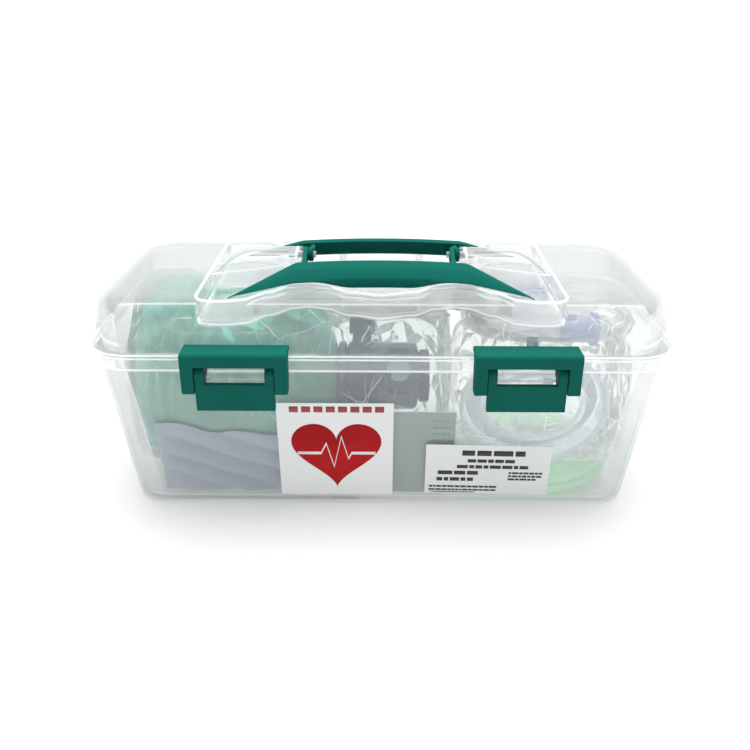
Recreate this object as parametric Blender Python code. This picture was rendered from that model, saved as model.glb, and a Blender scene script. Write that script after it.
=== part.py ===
"""Bag valve mask resuscitator kit in its clear carry case.

Frame: X to the right, Y to the back, Z up, origin under the middle of the case on the
surface that it stands on.  Every size below is in millimetres; meshes are made in metres.
"""
import math

import bmesh
import bpy
from mathutils import Matrix, Vector

MM = 0.001
GAP = 0.35                      # left between two pieces that touch

# --- case -------------------------------------------------------------------------------
CASE_LENGTH = 335.6             # over the rim
CASE_DEPTH = 144.0              # over the rim
RIM_Z = 104.2                   # top of the tray's rim
LID_TOP_Z = 134.0
WALL = 2.0
CORNER_R = 28.0
SKIRT = 8.2                     # height of the rim's skirt
WALL_FOOT_INSET, WALL_FOOT_Z = 15.6, 4.0
WALL_HEAD_INSET, WALL_HEAD_Z = 4.6, 95.0

# --- rear hinge -------------------------------------------------------------------------
HINGE_Y, HINGE_Z = CASE_DEPTH / 2 + 3.8, RIM_Z + 0.15
KNUCKLE_R, HINGE_PIN_R = 3.2, 1.4
HINGE_X = 68.0                  # middle of each hinge
KNUCKLE_LONG = 14.0

# --- pocket and towers in the lid -------------------------------------------------------
POCKET_FLOOR_Z = 120.0
POCKET_END_X, POCKET_END_R = 102.0, 9.0
# half width of the pocket along its length: waisted beside the handle's pivots
POCKET_WAIST = ((0, 50), (18, 45), (32, 34.5), (42, 31.5), (50, 33.5), (63, 45), (76, 58), (86, 60.5))
TOWER_X0, TOWER_X1 = 50.0, 103.3
TOWER_TOP_Z, TOWER_HALF = 146.0, 11.0
TOWER_SHOULDER_Z = 139.6        # edge of its crowned top, at the pivot's end

# --- carry handle -----------------------------------------------------------------------
PIVOT_Z = 142.0
PIVOT_PIN_R, EAR_R = 1.9, 4.4
EAR_THICK = 2.8
EAR_OUTER_X = 47.2
GRIP_TOP_Z, GRIP_INNER, GRIP_OUTER = 144.4, 20.0, 38.0
SPAN, SHOULDER = 87.0, 50.0     # half span of a handle half, and where its wings begin
TIP_Z, TIP_Y = 128.5, 41.0

# --- latches ----------------------------------------------------------------------------
LATCH_X = 79.0
BAR_Y, BAR_Z, BAR_R = -78.3, 98.2, 4.0
LEVER_WIDE, LEVER_EAR, LEVER_THICK = 43.0, 5.2, 3.0
LEVER_FACE_Y, LEVER_FOOT_Z = -84.0, 78.2
LEVER_TOP_Z = 93.8             # top of the lever's plate, under the window
FRAME_WIDE, FRAME_LEG = 57.5, 6.9
FRAME_FACE_Y, FRAME_FOOT_Z, FRAME_TOP_Z = -84.6, 88.4, 111.6
FRAME_OPENING_Z = 104.2         # top of the frame's opening
HOOK_UNDER_Z, HOOK_END_Y = 108.6, -69.6
FRAME_PIN_Y, FRAME_PIN_Z, FRAME_PIN_R = -82.2, 91.2, 1.4

# --- resuscitator -----------------------------------------------------------------------
AXIS_Y, AXIS_Z = 3.0, 59.5      # the bag's and the valves' common axis, along X
BAG_R = 55.0
BAG_SKIN = 1.8
VALVE_X, VALVE_TILT = -5.0, -30.0
PORT_X, RELIEF_X = 16.0, -7.2    # patient port and relief valve along the valve
MASK_X, MASK_Y, MASK_Z = 92.0, -42.0, 60.5
MASK_HALF_X, MASK_HALF_Z, CUSHION_R = 36.0, 29.0, 8.8

# --- oxygen tubing ----------------------------------------------------------------------
TUBE_D = 6.0
COIL_X, COIL_Y, COIL_FOOT_Z = 98.0, 0.0, 2.6
COIL_MEAN_R = 36.4
COIL_COLUMNS, COIL_ROWS = 5, 2


# === helpers ============================================================================
def clear_scene():
    for obj in list(bpy.data.objects):
        bpy.data.objects.remove(obj, do_unlink=True)


def material(name, colour, roughness=0.4, alpha=1.0):
    mat = bpy.data.materials.new(name)
    mat.use_nodes = True
    shader = mat.node_tree.nodes["Principled BSDF"]
    shader.inputs["Base Color"].default_value = (*colour, 1.0)
    shader.inputs["Roughness"].default_value = roughness
    shader.inputs["Alpha"].default_value = alpha
    mat.diffuse_color = (*colour, 1.0)
    return mat


def from_bmesh(name, bm):
    """Close a bmesh made in millimetres into an object in metres, faces out."""
    bmesh.ops.remove_doubles(bm, verts=bm.verts, dist=1e-4)
    bmesh.ops.recalc_face_normals(bm, faces=bm.faces)
    bmesh.ops.scale(bm, vec=(MM, MM, MM), verts=bm.verts)
    mesh = bpy.data.meshes.new(name)
    bm.to_mesh(mesh)
    bm.free()
    obj = bpy.data.objects.new(name, mesh)
    bpy.context.scene.collection.objects.link(obj)
    return obj


def loft(name, rings, caps=True):
    """Skin rings of points, all with the same count; without caps the rings close up."""
    bm = bmesh.new()
    made = [[bm.verts.new(point) for point in ring] for ring in rings]
    pairs = list(zip(made, made[1:]))
    if not caps:
        pairs.append((made[-1], made[0]))
    for low, high in pairs:
        for i in range(len(low)):
            j = (i + 1) % len(low)
            bm.faces.new((low[i], low[j], high[j], high[i]))
    if caps:
        bm.faces.new(made[0])
        bm.faces.new(made[-1])
    return from_bmesh(name, bm)


def box(name, low, high):
    rings = [[(low[0], low[1], z), (high[0], low[1], z), (high[0], high[1], z), (low[0], high[1], z)]
             for z in (low[2], high[2])]
    return loft(name, rings)


def prism(name, outline, start, end):
    """Extrude an outline of (y, z) points along X."""
    return loft(name, [[(x, y, z) for y, z in outline] for x in (start, end)])


def plate(name, outline, low, high):
    """Extrude an outline of (x, y) points along Z."""
    return loft(name, [[(x, y, z) for x, y in outline] for z in (low, high)])


def turn(name, profile, centre=(0, 0, 0), axis="X", steps=20):
    """Revolve a closed profile of (along, radius) points about a line along an axis."""
    bm = bmesh.new()
    columns = []
    for along, radius in profile:
        ring = []
        for k in range(steps if radius > 1e-6 else 1):
            angle = 2 * math.pi * k / steps
            u, v = radius * math.cos(angle), radius * math.sin(angle)
            place = {"X": (along, u, v), "Y": (u, along, v), "Z": (u, v, along)}[axis]
            ring.append(bm.verts.new(Vector(place) + Vector(centre)))
        columns.append(ring)
    for ring, after in zip(columns, columns[1:] + columns[:1]):
        if len(ring) == 1 and len(after) == 1:
            continue
        for k in range(steps):
            j = (k + 1) % steps
            corners = [ring[k % len(ring)], ring[j % len(ring)], after[j % len(after)], after[k % len(after)]]
            bm.faces.new(list(dict.fromkeys(corners)))
    return from_bmesh(name, bm)


def rod(name, start, end, radius, centre=(0, 0, 0), axis="X", steps=16):
    return turn(name, [(start, 0), (start, radius), (end, radius), (end, 0)], centre, axis, steps)


def pipe(name, start, end, inner, outer, centre=(0, 0, 0), axis="X", steps=18):
    return turn(name, [(start, inner), (start, outer), (end, outer), (end, inner)], centre, axis, steps)


def combine(target, operation, *tools):
    """Apply a Boolean with each tool in turn, then drop the tools."""
    for tool in tools:
        step = target.modifiers.new(operation, "BOOLEAN")
        step.operation = operation
        step.solver = "EXACT"
        step.object = tool
        bpy.context.view_layer.update()
        result = target.evaluated_get(bpy.context.evaluated_depsgraph_get())
        mesh = bpy.data.meshes.new_from_object(result)
        target.modifiers.clear()
        target.data = mesh
        bpy.data.objects.remove(tool, do_unlink=True)
    return target


def settle(obj, name, mat, pivot=(0, 0, 0), parent=None):
    """Name a sub-part, give it its material and put its origin on its pivot."""
    obj.name = name
    obj.data.name = name
    obj.data.materials.clear()
    obj.data.materials.append(mat)
    pivot = Vector(pivot) * MM
    obj.data.transform(Matrix.Translation(-pivot))
    obj.location = pivot
    obj.parent = parent
    obj.data.shade_smooth()
    obj.data.set_sharp_from_angle(angle=math.radians(32))
    return obj


def rounded_outline(half_x, half_y, radius, steps=5):
    """Points (x, y) of a rectangle with round corners, counterclockwise."""
    points = []
    for corner, (sx, sy) in enumerate(((1, 1), (-1, 1), (-1, -1), (1, -1))):
        for k in range(steps + 1):
            angle = math.radians(90 * (corner + k / steps))
            points.append((sx * (half_x - radius) + radius * math.cos(angle),
                           sy * (half_y - radius) + radius * math.sin(angle)))
    return points


def case_ring(inset, z):
    """The case's outline at a height, moved inward; its corners tighten as it shrinks."""
    outline = rounded_outline(CASE_LENGTH / 2 - inset, CASE_DEPTH / 2 - inset, CORNER_R - 0.6 * inset)
    return [(x, y, z) for x, y in outline]


def blend_table(table, x):
    """Smooth value through a short table of (x, value) points."""
    for (x0, v0), (x1, v1) in zip(table, table[1:]):
        if x <= x1:
            t = (x - x0) / (x1 - x0)
            t = t * t * (3 - 2 * t)
            return v0 + (v1 - v0) * t
    return table[-1][1]


def front_wall_y(z):
    """Outer face of the tray's front wall at a height."""
    t = (z - WALL_FOOT_Z) / (WALL_HEAD_Z - WALL_FOOT_Z)
    return -CASE_DEPTH / 2 + WALL_FOOT_INSET + (WALL_HEAD_INSET - WALL_FOOT_INSET) * t


# === case ===============================================================================
def make_tray(mat):
    skirt_z = RIM_Z - SKIRT
    tray = loft("case_tray", [
        case_ring(20.5, 0.0), case_ring(17.0, 0.7), case_ring(WALL_FOOT_INSET, WALL_FOOT_Z),
        case_ring(WALL_HEAD_INSET, WALL_HEAD_Z), case_ring(WALL_HEAD_INSET, RIM_Z - WALL),
        case_ring(1.8, RIM_Z - WALL), case_ring(1.8, skirt_z), case_ring(0.0, skirt_z),
        case_ring(0.0, RIM_Z), case_ring(WALL_HEAD_INSET + WALL, RIM_Z),
        case_ring(WALL_HEAD_INSET + WALL, WALL_HEAD_Z),
        case_ring(WALL_FOOT_INSET + WALL, WALL_FOOT_Z + 1.0), case_ring(20.5, 2.2)])
    for side in (-1, 1):
        middle = side * LATCH_X
        bar = rod("bar", middle - LEVER_WIDE / 2 + 0.3, middle + LEVER_WIDE / 2 - 0.3, BAR_R,
                  (0, BAR_Y, BAR_Z))
        half = LEVER_WIDE / 2 - LEVER_EAR - 1.0
        web = box("web", (middle - half, BAR_Y, BAR_Z - 1.6), (middle + half, -CASE_DEPTH / 2 + 1, BAR_Z + 1.6))
        combine(tray, "UNION", bar, web)
        for end in (-1, 1):
            combine(tray, "UNION", hinge_knuckle(side * HINGE_X + end * (KNUCKLE_LONG + 0.5), below=True))
    for side in (-1, 1):
        combine(tray, "DIFFERENCE", hinge_bore(side))
    return settle(tray, "case_tray", mat)


def hinge_knuckle(x, below):
    """A knuckle of the rear hinge with the web that joins it to a rim."""
    half = KNUCKLE_LONG / 2
    web_z = (HINGE_Z - 3.1, RIM_Z - 0.3) if below else (RIM_Z + 0.7, HINGE_Z + 3.1)
    web = box("web", (x - half, CASE_DEPTH / 2 - 1, web_z[0]), (x + half, HINGE_Y - 1.9, web_z[1]))
    knuckle = rod("knuckle", x - half, x + half, KNUCKLE_R, (0, HINGE_Y, HINGE_Z))
    return combine(knuckle, "UNION", web)


def hinge_bore(side):
    return rod("bore", side * HINGE_X - 30, side * HINGE_X + 30, HINGE_PIN_R + GAP, (0, HINGE_Y, HINGE_Z), steps=16)


def pocket_outline(grow=0.0):
    """Outline of the handle's pocket, waisted beside the pivots."""
    quarter = [(x, blend_table(POCKET_WAIST, x) + grow) for x in range(0, int(POCKET_END_X - POCKET_END_R), 6)]
    radius = POCKET_END_R + grow
    width = POCKET_WAIST[-1][1] + grow
    for k in range(5):
        angle = math.radians(90 - 22.5 * k)
        quarter.append((POCKET_END_X + grow - radius + radius * math.cos(angle),
                        width - radius + radius * math.sin(angle)))
    right_back = quarter
    right_front = [(x, -y) for x, y in reversed(quarter)]
    left_front = [(-x, -y) for x, y in quarter[1:]]
    left_back = [(-x, y) for x, y in reversed(quarter[1:])]
    return right_back + right_front + left_front + left_back


def tower(name, side, shrink=0.0, foot=None):
    """The raised spine that carries a handle pivot: a crowned top over straight shoulders,
    which slope down to the pocket's end, the crown last."""
    foot = POCKET_FLOOR_Z - 1.0 if foot is None else foot
    rings = []
    for t in (0.0, 0.35, 0.62, 0.8, 0.92, 1.0):
        x = TOWER_X0 + shrink + (TOWER_X1 - TOWER_X0 - 2 * shrink) * t
        end_z = LID_TOP_Z - 0.6
        crown = TOWER_TOP_Z - (TOWER_TOP_Z - end_z) * max(0.0, (t - 0.5) / 0.5) ** 2 - shrink
        shoulder = min(crown - 0.4, TOWER_SHOULDER_Z - (TOWER_SHOULDER_Z - end_z + 0.6) * t - shrink)
        half = TOWER_HALF - shrink
        rise = crown - shoulder
        section = ((-half, foot), (-half + 0.4, shoulder), (-half * 0.7, shoulder + rise * 0.6),
                   (-half * 0.35, shoulder + rise * 0.9), (0.0, crown), (half * 0.35, shoulder + rise * 0.9),
                   (half * 0.7, shoulder + rise * 0.6), (half - 0.4, shoulder), (half, foot))
        rings.append([(side * x, y, z) for y, z in section])
    return loft(name, rings)


def make_lid(mat):
    outside = ((0.0, RIM_Z + GAP), (0.0, 107.4), (3.2, 108.0), (4.4, 112.0), (5.6, 120.0), (7.2, 127.0),
               (9.6, 131.4), (13.0, 133.4), (17.0, LID_TOP_Z))
    inside = ((6.6, RIM_Z - 5.0), (6.6, 112.0), (7.6, 120.0), (9.2, 126.4), (11.4, 129.8), (14.4, 131.4),
              (18.0, LID_TOP_Z - WALL))
    lid = loft("lid", [case_ring(*level) for level in outside])
    core = loft("core", [case_ring(*level) for level in inside])
    combine(core, "DIFFERENCE", plate("block", pocket_outline(WALL), POCKET_FLOOR_Z - WALL, 150.0))
    combine(lid, "DIFFERENCE", core, plate("pocket", pocket_outline(), POCKET_FLOOR_Z, 150.0))
    for side in (-1, 1):
        boss = rod("boss", side * (EAR_OUTER_X + 0.4), side * (TOWER_X0 + 1), EAR_R + 0.4, (0, 0, PIVOT_Z))
        combine(lid, "UNION", tower("tower", side), boss, hinge_knuckle(side * HINGE_X, below=False))
    for side in (-1, 1):
        pivot_bore = rod("bore", side * 45.0, side * 54.0, PIVOT_PIN_R + GAP, (0, 0, PIVOT_Z), steps=16)
        hollow = tower("hollow", side, shrink=WALL, foot=POCKET_FLOOR_Z - 5.0)
        combine(lid, "DIFFERENCE", hollow, pivot_bore, hinge_bore(side))
    return settle(lid, "lid", mat, (0, HINGE_Y, HINGE_Z))


def make_hinge_pins(mat):
    for side, word in ((-1, "left"), (1, "right")):
        half = 1.5 * KNUCKLE_LONG
        pin = rod("pin", side * HINGE_X - half, side * HINGE_X + half, HINGE_PIN_R, (0, HINGE_Y, HINGE_Z), steps=16)
        settle(pin, f"hinge_pin_{word}", mat)


# === handle =============================================================================
def handle_section(x):
    """Section of a handle half at x: distance from the centre plane and height."""
    reach = abs(x)
    wing = max(0.0, (reach - SHOULDER) / (SPAN - SHOULDER))
    top = GRIP_TOP_Z - 1.6 * (min(reach, SHOULDER) / SHOULDER) ** 2
    top += (TIP_Z - (GRIP_TOP_Z - 1.6)) * wing
    size = max(0.07, 1.0 - wing)
    inner = GRIP_INNER + (TIP_Y - GRIP_INNER) * wing
    lip = 0.3 + 4.1 * blend_table(((0, 1), (16, 1), (40, 0), (SPAN, 0)), reach)
    shape = ((0, 0), (4, 0.9), (11, -1.4), (16.4, -5.6), (17.6, -6.6 - 0.8 * lip), (16.0, -7.2 - lip),
             (14.4, -6.4 - 0.8 * lip), (13.2, -6.2), (9.4, -3.8), (5.6, -3.0), (4.2, -8.6), (2.4, -8.9))
    return [(inner + d * size, top + h * size) for d, h in shape]


def make_handle_half(name, side, mat):
    """side -1 is the front half.  Both halves are one moulding, turned half round."""
    stations = [-SPAN, -82, -74, -66, -58, -SHOULDER, -40, -27, -14, 0, 14, 27, 40, SHOULDER, 58, 66, 74, 82, SPAN]
    bar = loft("bar", [[(x, side * d, z) for d, z in handle_section(x)] for x in stations])
    for end in (-1, 1):
        outer = end == side
        far = EAR_OUTER_X if outer else EAR_OUTER_X - EAR_THICK - 0.3
        near = far - EAR_THICK
        top = handle_section(far)[0][1]
        outline = [(side * GRIP_INNER + side * 3.0, top - 0.4), (0, PIVOT_Z + EAR_R)]
        for k in range(1, 6):
            angle = math.radians(90 + 30 * k)
            outline.append((side * -EAR_R * -math.cos(angle), PIVOT_Z + EAR_R * math.sin(angle)))
        outline += [(0, PIVOT_Z - EAR_R), (side * (GRIP_INNER - 3.0), top - 6.5),
                    (side * (GRIP_INNER + 11.0), top - 7.5), (side * (GRIP_INNER + 11.0), top - 2.8)]
        ear = prism("ear", outline, end * near, end * far)
        combine(bar, "UNION", ear)
        combine(bar, "DIFFERENCE", rod("bore", end * 38.0, end * 50.0, PIVOT_PIN_R + GAP, (0, 0, PIVOT_Z)))
    return settle(bar, name, mat, (0, 0, PIVOT_Z))


def make_handle(green, steel):
    make_handle_half("handle_front", -1, green)
    make_handle_half("handle_rear", 1, green)
    for side, word in ((-1, "left"), (1, "right")):
        pin = rod("pin", side * 39.5, side * 56.0, PIVOT_PIN_R, (0, 0, PIVOT_Z), steps=16)
        settle(pin, f"handle_pin_{word}", steel)


# === latches ============================================================================
def make_lever(x, word, mat):
    half = LEVER_WIDE / 2
    back = LEVER_FACE_Y + LEVER_THICK
    outline = [(LEVER_FACE_Y, LEVER_FOOT_Z), (LEVER_FACE_Y, LEVER_TOP_Z), (back + 0.6, LEVER_TOP_Z),
               (back, LEVER_TOP_Z - 2.2), (back, LEVER_FOOT_Z + 1.6), (back - 0.8, LEVER_FOOT_Z)]
    lever = prism("lever", outline, x - half, x + half)
    for end in (-1, 1):
        low, high = sorted((x + end * half, x + end * (half - LEVER_EAR)))
        ear = [(LEVER_FACE_Y, LEVER_TOP_Z - 4.0), (LEVER_FACE_Y, BAR_Z + 1.4)]
        for k in range(5):
            angle = math.radians(165 - 45 * k)
            ear.append((BAR_Y + 5.55 * math.cos(angle), BAR_Z + 5.55 * math.sin(angle)))
        ear.append((back - 0.6, LEVER_TOP_Z - 4.0))
        combine(lever, "UNION", prism("ear", ear, low, high))
        stub = rod("stub", x + end * (half - 2.0), x + end * (half + 3.6), FRAME_PIN_R,
                   (0, FRAME_PIN_Y, FRAME_PIN_Z), steps=16)
        combine(lever, "UNION", stub)
    combine(lever, "DIFFERENCE", rod("bore", x - 30, x + 30, BAR_R + 0.3, (0, BAR_Y, BAR_Z), steps=24))
    settle(lever, f"latch_lever_{word}", mat, (x, BAR_Y, BAR_Z))


def make_frame(x, word, mat):
    half = FRAME_WIDE / 2
    profile = [(FRAME_FACE_Y, FRAME_FOOT_Z), (FRAME_FACE_Y, FRAME_TOP_Z - 2.2), (FRAME_FACE_Y + 0.8, FRAME_TOP_Z - 0.7),
               (FRAME_FACE_Y + 2.4, FRAME_TOP_Z), (HOOK_END_Y, FRAME_TOP_Z), (HOOK_END_Y, HOOK_UNDER_Z),
               (-74.0, HOOK_UNDER_Z), (-74.8, HOOK_UNDER_Z - 1.2), (-74.8, 104.0), (-77.6, FRAME_FOOT_Z)]
    frame = prism("frame", profile, x - half, x + half)
    inner = LEVER_WIDE / 2 + GAP
    opening = box("opening", (x - inner, -95, FRAME_FOOT_Z - 5), (x + inner, -60, FRAME_OPENING_Z))
    combine(frame, "DIFFERENCE", opening)
    bore = rod("bore", x - half + 3.4, x + half - 3.4, FRAME_PIN_R + GAP, (0, FRAME_PIN_Y, FRAME_PIN_Z), steps=16)
    combine(frame, "DIFFERENCE", bore)
    settle(frame, f"latch_frame_{word}", mat, (x, FRAME_PIN_Y, FRAME_PIN_Z))


def make_latches(green):
    for side, word in ((-1, "left"), (1, "right")):
        make_lever(side * LATCH_X, word, green)
        make_frame(side * LATCH_X, word, green)


# === labels and leaflet =================================================================
def wall_sheet(name, x0, x1, z0, z1, lift, thick, tilt=0.0):
    """A thin sheet parallel to the front wall; lift is its distance in front of the wall."""
    rings = []
    for depth in (lift, lift + thick):
        ring = []
        for x, z in ((x0, z0), (x1, z0), (x1, z1), (x0, z1)):
            z = z - (x - x0) * math.tan(math.radians(tilt))
            ring.append((x, front_wall_y(z) - depth, z))
        rings.append(ring)
    return loft(name, rings)


def make_papers(white):
    settle(wall_sheet("emblem", -60.1, 7.5, 7.2, 73.8, GAP, 0.3), "front_label_emblem", white)
    settle(wall_sheet("data", 27.0, 101.5, 8.8, 45.2, GAP, 0.3, tilt=1.0), "front_label_data", white)
    settle(wall_sheet("leaflet", -8.0, 44.0, 7.0, 66.0, -WALL - 1.6, 0.8), "instruction_leaflet", white)


# === squeeze bag ========================================================================
def make_bag(mat):
    """Stored bag: its tail is pushed in, so the intake valve sits inside the end."""
    outer = [(-22, 18.0), (-27, 18.2), (-30, 27), (-36, 40), (-47, 50), (-64, BAG_R), (-118, BAG_R),
             (-134, 52.4), (-145, 45), (-149.5, 35), (-147, 29.4), (-138, 27.2), (-104, 26.4), (-100, 17)]
    inner = [(-98, 17), (-102, 28.2), (-138, 29.0), (-145.4, 31), (-147.6, 35), (-143.4, 43.6), (-133, 50.6),
             (-118, BAG_R - BAG_SKIN), (-64, BAG_R - BAG_SKIN), (-47.8, 48.2), (-37.4, 38.6), (-31.8, 26.4),
             (-28.6, 16.4), (-22, 16.2)]
    bag = turn("bag", outer + inner, (0, AXIS_Y, AXIS_Z), steps=24)
    settle(bag, "squeeze_bag", mat)


def make_bag_collars(mat):
    centre = (0, AXIS_Y, AXIS_Z)
    settle(turn("collar", [(-26.6, 18.6), (-26.6, 21.6), (-25.6, 22.4), (-23.0, 22.4), (-22.1, 21.6), (-22.1, 18.6)],
                centre), "bag_neck_collar", mat)


# === patient valve ======================================================================
def make_patient_valve(frame, body, clear, silicone, steel):
    """Valve in its own frame: along X from the bag to the exhalation port, patient port at -Y."""
    inlet = turn("inlet", [
        (-28, 13.6), (-28, 15.7), (-16.6, 15.7), (-16.4, 20.0), (-14.4, 22.0), (-1, 22.0), (0, 24.0), (3.0, 24.0),
        (3.0, 22.2), (0.6, 22.2), (0.6, 20.0), (-13.4, 20.0), (-15, 13.6)])
    stub = rod("stub", 19.5, 27.0, 6.2, (RELIEF_X, 0, 0), "Z")
    combine(combine(inlet, "UNION", stub), "DIFFERENCE", rod("hole", 15.0, 30.0, 4.2, (RELIEF_X, 0, 0), "Z"))
    settle(inlet, "valve_inlet_housing", body, parent=frame)

    outlet = turn("outlet", [
        (1.0, 19.2), (1.0, 21.8), (26.0, 21.8), (28.4, 20.6), (29.6, 15.2), (34.0, 15.2), (34.0, 13.2),
        (30.6, 13.6), (27.4, 19.2)], steps=28)
    neck = rod("neck", -26.5, -15.0, 12.3, (PORT_X, 0, 0), "Y", 24)
    combine(neck, "DIFFERENCE", rod("inside", -8.0, 40.0, 20.6, steps=28))
    combine(combine(outlet, "UNION", neck), "DIFFERENCE", rod("bore", -30.0, -5.0, 10.4, (PORT_X, 0, 0), "Y", 24))
    settle(outlet, "valve_outlet_housing", clear, parent=frame)

    bill = turn("bill", [(-1.0, 19.6), (0.2, 19.6), (0.2, 11.4), (8.0, 4.0), (12.0, 1.6), (12.0, 0.6), (8.0, 2.2),
                         (-1.0, 9.6)], steps=20)
    settle(bill, "duckbill_valve", silicone, parent=frame)
    ring = pipe("ring", 25.0, 26.0, 12.4, 18.6, steps=20)
    settle(ring, "exhalation_diaphragm", silicone, (25.5, 0, 0), parent=frame)

    grille = turn("grille", [(30.2, 15.6), (30.2, 17.2), (36.0, 17.2), (36.0, 4.0), (34.4, 4.0), (34.4, 15.6)])
    for k in range(6):
        slot = box("slot", (33, -1.6, 6.0), (38, 1.6, 12.6))
        slot.data.transform(Matrix.Rotation(math.radians(60 * k), 4, "X"))
        combine(grille, "DIFFERENCE", slot)
    settle(grille, "exhalation_port_cap", body, parent=frame)

    port = turn("port", [
        (-26.9, 7.5), (-26.9, 14.4), (-30.2, 14.4), (-31.0, 12.0), (-46.0, 11.0), (-46.0, 7.5)],
        (PORT_X, 0, 0), "Y", 28)
    settle(port, "patient_port", body, (PORT_X, -26.9, 0), parent=frame)

    cage = turn("cage", [(27.4, 4.2), (27.4, 8.4), (36.6, 8.4), (37.8, 7.4), (37.8, 2.4), (36.2, 2.4), (36.2, 6.9),
                         (29.2, 6.9), (29.2, 4.2)], (RELIEF_X, 0, 0), "Z")
    settle(cage, "relief_valve_cap", body, parent=frame)
    poppet = turn("poppet", [(29.6, 0), (29.6, 6.2), (30.8, 6.2), (30.8, 1.8), (38.6, 1.8), (38.6, 0)],
                  (RELIEF_X, 0, 0), "Z", 16)
    settle(poppet, "relief_valve_poppet", silicone, (RELIEF_X, 0, 29.6), parent=frame)
    settle(spring("spring", (RELIEF_X, 0, 31.1), 4.2, 4.7, 0.35, 3), "relief_valve_spring", steel, parent=frame)


def spring(name, foot, radius, height, wire, turns):
    """A coil spring as a bent wire with flat ends."""
    steps = 12 * turns
    rings = []
    for k in range(steps + 1):
        angle = 2 * math.pi * k / 12
        rise = wire + (height - 2 * wire) * k / steps
        rings.append([(foot[0] + (radius + wire * math.cos(a)) * math.cos(angle),
                       foot[1] + (radius + wire * math.cos(a)) * math.sin(angle),
                       foot[2] + rise + wire * math.sin(a)) for a in (0, math.pi / 2, math.pi, 3 * math.pi / 2)])
    return loft(name, rings)


# === intake valve and reservoir =========================================================
def make_intake(body, clear, silicone):
    centre = (0, AXIS_Y, AXIS_Z)
    housing = turn("housing", [(-96.0, 13.2), (-96.0, 16.2), (-104.6, 16.2), (-104.8, 20.6), (-106.4, 22.0),
                               (-123.0, 22.0), (-123.0, 19.8), (-118.0, 19.8), (-118.0, 9.0), (-116.4, 9.0),
                               (-116.4, 19.8), (-107.0, 19.8), (-105.4, 13.2)], centre)
    settle(housing, "intake_valve_housing", body)
    disc = rod("disc", -116.0, -114.8, 12.6, centre)
    settle(disc, "intake_valve_disc", silicone, (-115.4, AXIS_Y, AXIS_Z))

    connector = turn("connector", [(-123.4, 17.0), (-123.4, 24.4), (-127.0, 25.0), (-141.0, 25.0), (-142.0, 24.0),
                                   (-144.6, 19.4), (-144.6, 17.0), (-133.6, 17.0), (-133.6, 0), (-131.8, 0),
                                   (-131.8, 17.0)], centre)
    for dz in (-8.5, 8.5):
        combine(connector, "DIFFERENCE", rod("hole", -136, -129, 4.6, (0, AXIS_Y, AXIS_Z + dz)))
    combine(connector, "DIFFERENCE", rod("hole", -150, -138, 2.9, (0, AXIS_Y, AXIS_Z + 21.2), steps=14))
    settle(connector, "reservoir_connector", clear)
    inlet = rod("disc", -131.4, -130.4, 6.4, (0, AXIS_Y, AXIS_Z - 8.5))
    settle(inlet, "reservoir_inlet_disc", silicone, (-131.0, AXIS_Y, AXIS_Z - 8.5))
    relief = rod("disc", -135.0, -134.0, 6.4, (0, AXIS_Y, AXIS_Z + 8.5))
    settle(relief, "reservoir_relief_disc", silicone, (-134.4, AXIS_Y, AXIS_Z + 8.5))
    nipple = turn("nipple", [(-138.4, 1.3), (-138.4, 2.55), (-145.2, 2.55), (-145.2, 3.2), (-149.6, 2.1), (-149.6, 1.3)],
                  (0, AXIS_Y, AXIS_Z + 21.2), steps=14)
    settle(nipple, "oxygen_nipple", clear)


def make_reservoir(mat, collar_mat):
    """The reservoir bag is folded into the corner in front of the squeeze bag."""
    outline = [(-52.0, 3.0), (-27.0, 3.0)]
    for z in (9, 17, 26, 36, 46, 52):
        reach = math.sqrt((BAG_R + 1.4) ** 2 - (z - AXIS_Z) ** 2)
        outline.append((AXIS_Y - reach, z))
    outline += [(front_wall_y(53) + WALL + 1.6, 54.0), (front_wall_y(46) + WALL + 0.8, 46.0),
                (front_wall_y(8) + WALL + 1.0, 8.0)]
    settle(prism("pack", outline, -131.0, -32.0), "reservoir_bag", mat)
    collar = pipe("collar", -30.6, -14.0, 13.0, 15.5, (0, -37.0, 19.0), steps=20)
    settle(collar, "reservoir_bag_collar", collar_mat)


# === mask ===============================================================================
def ellipse_ring(scale_x, scale_z, y, count=26):
    ring = []
    for k in range(count):
        angle = 2 * math.pi * k / count
        ring.append((MASK_X + scale_x * math.cos(angle), y, MASK_Z + scale_z * math.sin(angle)))
    return ring


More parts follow.
